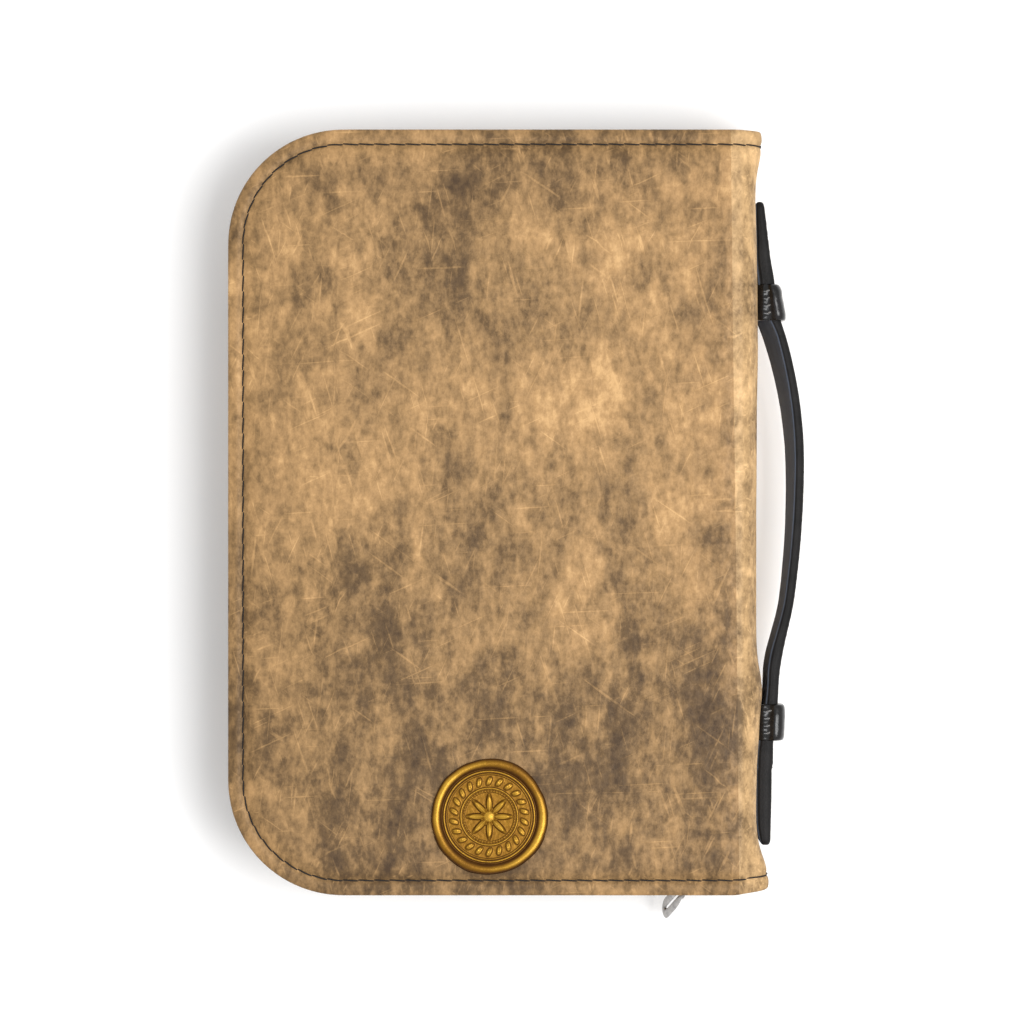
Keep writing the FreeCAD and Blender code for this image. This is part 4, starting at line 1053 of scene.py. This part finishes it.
# ---------------------------------------------------------------- the Bible
def text_block(side):
    """Half of the gathered leaves: gilt edges with slightly uneven leaves and a hollow fore-edge."""
    node = f"{side}_text_block"
    low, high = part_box(node)
    outer_z, face_z = (high.z, low.z) if side == BACK else (low.z, high.z)
    radius = 7 * MM

    def move(x, y, level, rim):
        z = outer_z + (face_z - outer_z) * level
        if not rim:
            dip = 0.12 * MM * noise.noise(Vector((x * 25, y * 18, 2)))
            return Vector((x, y, z - (dip + 0.12 * MM) * (1 if side == FRONT else -1) * (level == 1)))
        uneven = 0.13 * MM * noise.noise(Vector((x * 90, y * 90, level * 40)))
        hollow = 0.9 * MM * math.sin(math.pi * level / 2) * bell(x, low.x, 3 * MM)
        return Vector((x + hollow + uneven * (x < high.x - 1 * MM), y * (1 - 0.0008) + uneven * 0.5, z))

    shape = Shape()
    slab(shape, plan_grid(low.x, high.x, high.y, radius, 36, 30, 30 * MM), spread(0, 1, 22), move, gilt=1.0)
    made = shape.piece(f"{side}_pages", "page_paper", "pages")
    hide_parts(node)
    join_book(made)


def join_book(made):
    """Bakes a piece of the Bible's placement into its mesh."""
    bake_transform(made)


def headbands(side):
    """Padded bands sewn over in two colours at the head and tail of the leaves."""
    node = f"{side}_headbands"
    low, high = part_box(node)
    shape = Shape()
    radius = (high.x - low.x) / 2
    x = (low.x + high.x) / 2
    count = 40
    sizes = [radius * (0.93 if n % 2 else 0.8) for n in range(count)]
    for y in (low.y + radius, high.y - radius):
        path = [Vector((x, y, z)) for z in spread(low.z, high.z, count)]
        tube(shape, path, sizes, sides=12, up=Vector((1, 0, 0)))
    made = shape.piece(f"{side}_sewn_bands", "headband", "headband")
    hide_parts(node)
    join_book(made)


def book_spine():
    """Rounded leather spine of the Bible with five raised bands."""
    low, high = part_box("bible_spine_cover")
    thick, bow, rise = 1.4 * MM, 56 * MM, 0.55 * MM
    bands = [low.y + (high.y - low.y) * share for share in (0.13, 0.31, 0.49, 0.67, 0.85)]
    rows = []
    for y in spread(low.y, high.y, 140):
        lift = max(rise * bell(y, band, 1.7 * MM) ** 0.7 for band in bands)
        ends = 0.4 * MM * (1 - smooth(min(y - low.y, high.y - y), 0, 1.2 * MM))
        row = []
        for z in spread(low.z, high.z, 19):
            x = high.x - rise - bow + math.sqrt(bow ** 2 - (z - MIDDLE) ** 2)
            row.append(Vector((x + lift - ends, y, z)))
        rows.append(row)
    shape = Shape()
    shape.solid_sheet(rows, thick, lambda r, c: Vector((-1, 0, 0)))
    made = shape.piece("book_spine", "book_cover", "book_cover_rest", levels=1)
    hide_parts("bible_spine_cover")
    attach(made, "spine")


def ribbon():
    """Marker ribbon between the halves of the book, with a free, slantwise cut tail below the foot."""
    low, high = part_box("ribbon_marker")
    thick, foot = 0.16 * MM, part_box("front_text_block")[0].y
    width = high.x - low.x
    middle_x = (low.x + high.x) / 2
    rows = []
    count = 90
    for y in spread(high.y, low.y, count):
        free = smooth(foot - y, -1 * MM, 7 * MM)
        sway = 0.9 * MM * math.sin(y * 34) * smooth(high.y - y, 0, 60 * MM)
        z = MIDDLE + 0.10 * MM * math.sin(y * 160) - 0.9 * MM * free ** 2
        row = []
        for share in spread(-0.5, 0.5, 9):
            cut = 2.2 * MM * (share + 0.5) * smooth(y, low.y + 6 * MM, low.y)
            curl = 0.5 * MM * (share * 2) ** 2 * free
            row.append(Vector((middle_x + sway + width * share, y + cut, z - thick / 2 + curl)))
        rows.append(row)
    shape = Shape()
    shape.solid_sheet(rows, thick, lambda r, c: Vector((0, 0, 1)))
    made = shape.piece("ribbon", "ribbon", "ribbon")
    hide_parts("ribbon_marker")
    join_book(made)


def pen_loop():
    """Elastic pen loop, sewn flat to the pocket along its foot and arched above it."""
    low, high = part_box("pen_loop")
    centre, half = (low.x + high.x) / 2, (high.x - low.x) / 2
    tall, band = high.z - low.z, 1.1 * MM
    shape = Shape()
    shells = []
    for inward in (0, band):
        rings = []
        for y in spread(low.y, high.y, 19):
            edge = 1 - smooth(min(y - low.y, high.y - y), 0, 1.6 * MM)
            rings.append([])
            for step in range(32):
                a = math.tau * step / 32
                lift = math.sin(a)
                power = 0.75 if lift > 0 else 0.3
                x = centre + (half - inward) * math.copysign(abs(math.cos(a)) ** 0.7, math.cos(a))
                reach = tall / 2 - inward
                z = low.z + tall / 2 + reach * math.copysign(abs(lift) ** power, lift)
                puff = (0.14 * math.sin(a * 11 + y * 900) + 0.3 * edge) * MM * (1 if inward else -1)
                rings[-1].append(shape.add(Vector((x + puff * math.cos(a), y, z + puff * lift * (lift > 0)))))
        shells.append(rings)
        shape.grid(rings, closed=True)
    for end in (0, -1):
        shape.grid([shells[0][end], shells[1][end]], closed=True)
    made = shape.piece("elastic_loop", "elastic", "elastic")
    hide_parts("pen_loop")
    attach(made, "front_cover")


# ---------------------------------------------------------------- handle
STRAP_HALF, STRAP_THICK = 9 * MM, 3.5 * MM
PIVOT_X = 95 * MM
APEX = (109.8 * MM, 16 * MM)
BOW = {1: 153 * MM, -1: 345 * MM}
TAIL_END = {1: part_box("strap_tail_upper")[1].y + 1.2 * MM, -1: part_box("strap_tail_lower")[0].y}
BEND = {1: (62 * MM, 84 * MM), -1: (30 * MM, 78 * MM)}
DROOP = (9.0, 5.5, 1.5)


def strap_faces(y):
    """Where the strap's inner and outer faces stand along X: bow, way through the keeper, sewn tail."""
    sign = 1 if y > 0 else -1
    far = abs(y)
    bent = min(far, 84 * MM) * sign - APEX[1]
    radius = BOW[1 if y > APEX[1] else -1]
    bow_outer = APEX[0] - radius + math.sqrt(radius ** 2 - bent ** 2)
    bow_inner = bow_outer - STRAP_THICK
    tail_inner = SPINE + spine_swell(y) + 0.45 * MM
    if sign > 0:
        tail_outer = 99.8 * MM - 0.115 * (far - 81 * MM)
    else:
        step = 0.45 * smooth(far, 90.3 * MM, 91.2 * MM)
        lift = 1.6 * MM * (1 - smooth(far, 66 * MM, 84 * MM))
        tail_outer = (99.6 - step - 0.4 * smooth(far, 96 * MM, 118 * MM)) * MM + lift
        tail_inner += lift * 0.9
    share = smooth(far, *BEND[sign])
    return bow_inner + (tail_inner - bow_inner) * share, bow_outer + (tail_outer - bow_outer) * share


def strap_point(y, outward, across):
    """Point of the strap: outward is -1 at its inner face and 1 at its outer one, across is in metres."""
    inner, outer = strap_faces(y)
    way = (y - APEX[1]) / (48 * MM)
    lean = math.radians(DROOP[0] + DROOP[1] * way + DROOP[2] * way ** 2)
    droop = lean * (1 - smooth(abs(y), 62 * MM, 92 * MM))
    here = (inner + outer) / 2 + outward * (outer - inner) / 2 - PIVOT_X
    return Vector((PIVOT_X + here * math.cos(droop) + across * math.sin(droop), y,
                   MIDDLE - here * math.sin(droop) + across * math.cos(droop)))


def strap_section(steps=9):
    """Outline of the strap: crowned leather turned round both edges, seam grooves and a flat backing."""
    half = STRAP_HALF
    outline = [(1 + 0.12 * math.cos(math.pi * share / 2), half * 0.86 * share)
               for share in spread(-1, 1, steps)]
    edge = [(0.98 * math.cos(a), half * 0.86 + half * 0.14 * math.sin(a)) for a in spread(0.3, 2.0, 6)]
    seam = [(-0.62, half * 0.99), (-0.70, half * 0.93), (-0.80, half * 0.965)]
    back = [(-0.97, half * 0.94), (-1.0, half * 0.84)]
    upper = edge + seam + back
    lower = [(u, -v) for u, v in reversed(upper)]
    face = [(-1.0, half * 0.84 * share) for share in spread(1, -1, 5)][1:-1]
    return outline + upper + face + lower


def strap_half(end):
    """Half of the strap from its sewn tail through its keeper to the top of the bow."""
    sign = 1 if end == "upper" else -1
    stop, start = TAIL_END[sign], APEX[1]
    outline = strap_section()
    shape = Shape()
    rings = []
    ys = [start] + spread(start + sign * 0.05 * MM, stop - sign * 2.2 * MM, 110)
    ys += [stop - sign * inset * MM for inset in (1.4, 0.7, 0.25, 0.0)]
    for y in ys:
        shrink = math.sqrt(max(0.0, 1 - (1 - min(1, abs(stop - y) / (2.2 * MM))) ** 2))
        narrow = 0.78 + 0.22 * shrink
        pinch = 1 - 0.10 * bell(abs(y), 74 * MM, 5 * MM)
        pinch -= 0.10 * bell(abs(y), 90.5 * MM, 0.8 * MM) * (sign < 0)
        ring = []
        for u, v in outline:
            grain = 0.03 * noise.noise(Vector((u * 0.7, y * 260, v * 260)))
            ring.append(shape.add(strap_point(y, u * pinch * (0.45 + 0.55 * shrink) + grain, v * narrow),
                                  backing=1.0 if u < -0.95 else 0.0))
        rings.append(ring)
    shape.grid(rings, closed=True)
    shape.face(*rings[-1])
    tongue = [shape.add(strap_point(start - sign * 1.2 * MM, u * 0.9, v * 0.97)) for u, v in outline]
    root = [shape.add(strap_point(start + sign * 0.02 * MM, u * 0.92, v * 0.975)) for u, v in outline]
    shape.grid([rings[0], root, tongue], closed=True)
    shape.face(*tongue)
    made = shape.piece(f"strap_{end}", "strap_leather", "strap")
    if sign > 0:
        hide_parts("handle_leather", "strap_tail_upper")
    else:
        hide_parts("handle_core", "handle_backing", "strap_tail_lower")
    join_strap(made)


def join_strap(made):
    """Bakes a piece of the strap's placement into its mesh."""
    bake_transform(made)


def strap_stitches(end):
    """Saddle stitches along both edges of the strap, on its outer leather and on its backing."""
    sign = 1 if end == "upper" else -1
    stop, pitch = abs(TAIL_END[sign]) - 4 * MM, 3.4 * MM
    shape = Shape()
    start = APEX[1] * sign
    count = int((stop - start) / pitch)
    for number in range(count):
        y = start + pitch * (number + 0.5)
        if 66 * MM < y < 83 * MM:
            continue
        for across in (-1, 1):
            for face in (-1, 1):
                path = []
                for step in range(5):
                    share = step / 4 - 0.5
                    lift = -0.07 - 3.6 * share ** 4
                    depth = 1.045 if face > 0 else 1.0
                    path.append(strap_point(sign * (y + share * pitch * 0.8), face * (depth + lift),
                                            across * (STRAP_HALF * 0.80 + share * 0.25 * MM)))
                tube(shape, path, 0.2 * MM, sides=6, up=Vector((1, 0, 0)))
    made = shape.piece(f"strap_thread_{end}", "thread", "strap_thread")
    join_strap(made)


def keeper_lean(share, sign):
    """How far a keeper's outer side leans out at a share of its height; the upper one is pulled askew."""
    return 2.4 * MM * (0.5 - share) if sign > 0 else 0.4 * MM * (share - 0.5)


def keeper(end):
    """Leather loop round the strap: a full soft outer side and a gathered side next to the spine."""
    low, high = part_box(f"handle_keeper_{end}")
    sign = 1 if end == "upper" else -1
    middle_x, middle_z = (low.x + high.x) / 2, (low.z + high.z) / 2
    half_x, half_z, wall = (high.x - low.x) / 2, (high.z - low.z) / 2, 1.6 * MM
    shape = Shape()
    shells = ([], [])
    for y in spread(low.y, high.y, 33):
        share = (y - low.y) / (high.y - low.y)
        rim = min(share, 1 - share)
        soft = math.sqrt(max(0.0, 1 - (1 - min(1, rim / 0.2)) ** 2))
        lean = keeper_lean(share, sign)
        outer, inner = [], []
        for step in range(64):
            angle = math.tau * step / 64
            across, up = math.cos(angle), math.sin(angle)
            x = math.copysign(abs(across) ** 0.55, across)
            z = math.copysign(abs(up) ** 0.42, up)
            free = smooth(x, -0.4, 0.5)
            level = abs(up) > 0.4
            recess = 1.0 * MM * bell(x, -0.05, 0.16) * level
            ribs = 0.45 * MM * abs(math.sin(share * math.pi * 5)) * (1 - smooth(x, -0.3, 0.0)) * level
            swell = 0.5 * MM * free * math.sin(math.pi * share)
            wrinkle = 0.18 * MM * noise.noise(Vector((x * 1.4, y * 420, z)))
            reach_x = (half_x + (0.35 if sign > 0 else 0.75) * MM * free) * (0.84 + 0.16 * soft)
            reach_z = (half_z - recess - ribs + swell) * (0.90 + 0.10 * soft)
            outer.append(shape.add(Vector((middle_x + lean * free + reach_x * x + wrinkle * across, y,
                                           middle_z + reach_z * z + wrinkle * up))))
            inner.append(shape.add(Vector((middle_x + lean * free * 0.8 + (half_x - wall) * 0.98 * x, y,
                                           middle_z + (half_z - wall) * z))))
        shells[0].append(outer)
        shells[1].append(inner)
    for rings in shells:
        shape.grid(rings, closed=True)
    for number in (0, -1):
        shape.grid([shells[0][number], shells[1][number]], closed=True)
    made = shape.piece(f"keeper_{end}", "strap_leather", "keeper", levels=1)
    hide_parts(f"handle_keeper_{end}")
    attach(made, "spine")


def keeper_thread(end):
    """The few stitches that close a keeper, in the hollow between its two sides."""
    low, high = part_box(f"handle_keeper_{end}")
    sign = 1 if end == "upper" else -1
    top, middle_x = high.z - 0.75 * MM, (low.x + high.x) / 2
    shape = Shape()
    for number, reach in enumerate((0.9, 1.4, 1.1, 1.5)):
        share = 0.22 + 0.19 * number
        y = low.y + (high.y - low.y) * share
        x = middle_x - 0.2 * MM + keeper_lean(share, sign) * 0.5
        path = [Vector((x + dx * reach * MM, y + (dx * 0.35 + 0.1 * number) * MM, top + dz * MM))
                for dx, dz in ((-1.0, -0.8), (-0.8, -0.05), (0, 0.1), (0.8, -0.05), (1.0, -0.8))]
        tube(shape, path, 0.36 * MM, sides=8)
    made = shape.piece(f"keeper_thread_{end}", "thread", "waxed_thread")
    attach(made, "spine")


# ---------------------------------------------------------------- seal
# Angle of the painted highlights on the seal's rim: its gold is painted brighter towards this angle and the
# opposite one.
RIM_HIGHLIGHT_AT = math.radians(300)


def seal():
    """Cast seal: uneven rolled rim with painted highlights at two opposite sides, plain and beaded rings, a
    wreath of leaves and an eight-rayed star.
    """
    low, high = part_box("seal_medallion")
    centre = Vector(((low.x + high.x) / 2, (low.y + high.y) / 2, 0))
    base, field, edge = THICK + 1.05 * MM, 16.8, 20.7
    rim_top, rays, leaves, beads = high.z + 0.45 * MM, 8, 22, 56

    def relief(r, a):
        """Height over the field, in millimetres, at a radius in millimetres and an angle."""
        tall = 0.0
        ray = abs((a * rays / math.tau + 0.5) % 1 - 0.5) * math.tau / rays
        reach = 8.3 * (1 - smooth(ray, 0, math.pi / rays) * 0.62)
        if r < reach:
            ridge = 0.75 * (1 - ray / (math.pi / rays)) * smooth(reach - r, 0, 1.6) * smooth(r, 0, 2.5)
            tall = max(tall, 0.25 + ridge)
        tall = max(tall, 0.9 * math.sqrt(max(0.0, 1 - (r / 2.1) ** 2)))
        for ring_r, wide, height in ((10.0, 0.42, 0.45), (15.0, 0.30, 0.35), (15.9, 0.42, 0.5)):
            tall = max(tall, height * math.sqrt(max(0.0, 1 - ((r - ring_r) / wide) ** 2)))
        leaf = ((a * leaves / math.tau) % 1 - 0.5) * math.tau / leaves * r
        slanted = leaf + (r - 12.5) * 0.35
        body = 1 - (slanted / 1.05) ** 2 - ((r - 12.5) / 1.75) ** 2
        if body > 0:
            tall = max(tall, 0.62 * math.sqrt(body) - 0.22 * bell(slanted, 0, 0.16))
        bead = ((a * beads / math.tau) % 1 - 0.5) * math.tau / beads * r
        spot = 1 - (bead / 0.55) ** 2 - ((r - 9.0) / 0.42) ** 2
        if spot > 0 and r > 8.4:
            tall = max(tall, 0.3 * math.sqrt(spot))
        return tall

    def wear(r, a):
        """How bright the gold is: dark beside a raised edge, plain on the field, rubbed on high places."""
        step = 0.14
        steep = math.hypot(relief(r + step, a) - relief(r - step, a),
                           relief(r, a + step / r) - relief(r, a - step / r)) / (2 * step)
        return 0.47 + 0.31 * smooth(relief(r, a), 0.1, 0.6) - 0.36 * smooth(steep, 0.25, 1.1)

    shape = Shape()
    steps, rings = 288, []
    for r in spread(0.0, field, 88)[1:] + spread(field, edge, 26)[1:]:
        ring = []
        for step in range(steps):
            a = math.tau * step / steps
            uneven = (0.55 * noise.noise(Vector((math.cos(a) * 1.3, math.sin(a) * 1.3, 4)))
                      + 0.22 * noise.noise(Vector((math.cos(a) * 4, math.sin(a) * 4, 9))))
            if r <= field:
                rough = 0.05 * noise.noise(Vector((r * math.cos(a) * 0.9, r * math.sin(a) * 0.9, 1)))
                z = base + (relief(r, a) + rough) * MM
                bright = wear(r, a) * (1 - 0.8 * smooth(r, field - 0.6, field))
                at = r
            else:
                share = (r - field) / (edge - field)
                swell = math.sin(math.pi * min(1, share * 1.02)) ** 0.62
                z = base + (rim_top - base) * swell * (1 + 0.16 * uneven) - 1.9 * MM * smooth(share, 0.86, 1)
                # The rim's tone: brighter on its top, where the gold is rubbed, and brighter still at two
                # opposite sides, a painted highlight.
                rim_rub_and_highlight = 0.50 + 0.20 * math.cos(2 * a - RIM_HIGHLIGHT_AT)
                bright = 0.12 + rim_rub_and_highlight * smooth(swell, 0.55, 1.0)
                at = r + uneven * 0.9 * smooth(share, 0.1, 0.9)
            x, y = centre.x + at * MM * math.cos(a), centre.y + at * MM * math.sin(a)
            # The tone goes to the material in the relief attribute: patina and wear, and on the rim a painted
            # highlight.
            ring.append(shape.add(Vector((x, y, z)), relief=bright))
        rings.append(ring)
    hub = shape.add(Vector((centre.x, centre.y, base + 0.9 * MM)), relief=1.0)
    for a in range(steps):
        shape.face(hub, rings[0][a], rings[0][(a + 1) % steps])
    shape.grid(rings, closed=True)
    foot = [shape.add(Vector((shape.points[v][0], shape.points[v][1], low.z)), relief=0.0) for v in rings[-1]]
    shape.grid([rings[-1], foot], closed=True)
    shape.face(*foot)
    made = shape.piece("gold_seal", "seal_gold", "gold")
    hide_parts("seal_medallion")
    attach(made, "back_cover")


# ---------------------------------------------------------------- the whole object
def band_stitches(side):
    """Two rows of machine stitches that hold the zip tape to the leather band."""
    low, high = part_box(f"{side}_side_band")
    tape_edge = high.z if side == FRONT else low.z
    inward = -1 if side == FRONT else 1
    inset = HALF_Y - high.y
    shape = Shape()
    places = list(round_run(inset, high.x - 1 * MM, 1.6 * MM))
    for row in (1.1, 2.3):
        z = tape_edge + inward * row * MM
        for number in range(0, len(places) - 2, 2):
            (a, out), (b, _) = places[number], places[number + 1]
            lifts = ((0.0, -0.2), (0.2, 0.16), (0.8, 0.16), (1.0, -0.2))
            path = [Vector((*(a + (b - a) * share).xy, z)) + out * (lift * MM) for share, lift in lifts]
            tube(shape, path, 0.17 * MM, sides=5)
    made = shape.piece(f"{side}_band_thread", "thread", "stitch")
    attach(made, f"{side}_cover")


make_camera()
make_stage()
make_materials()
finish_cad_nodes()
for cover in SIDES:
    cover_skin(cover)
    hem_stitches(cover)
    cover_padding(cover)
    hinge_lining(cover)
    zip_coil(cover)
    band_stitches(cover)
    text_block(cover)
    headbands(cover)
for place in ("head", "tail"):
    gusset(place)
zip_slider()
zip_puller()
book_spine()
ribbon()
pen_loop()
for half in ("upper", "lower"):
    strap_half(half)
    strap_stitches(half)
    keeper(half)
    keeper_thread(half)
seal()
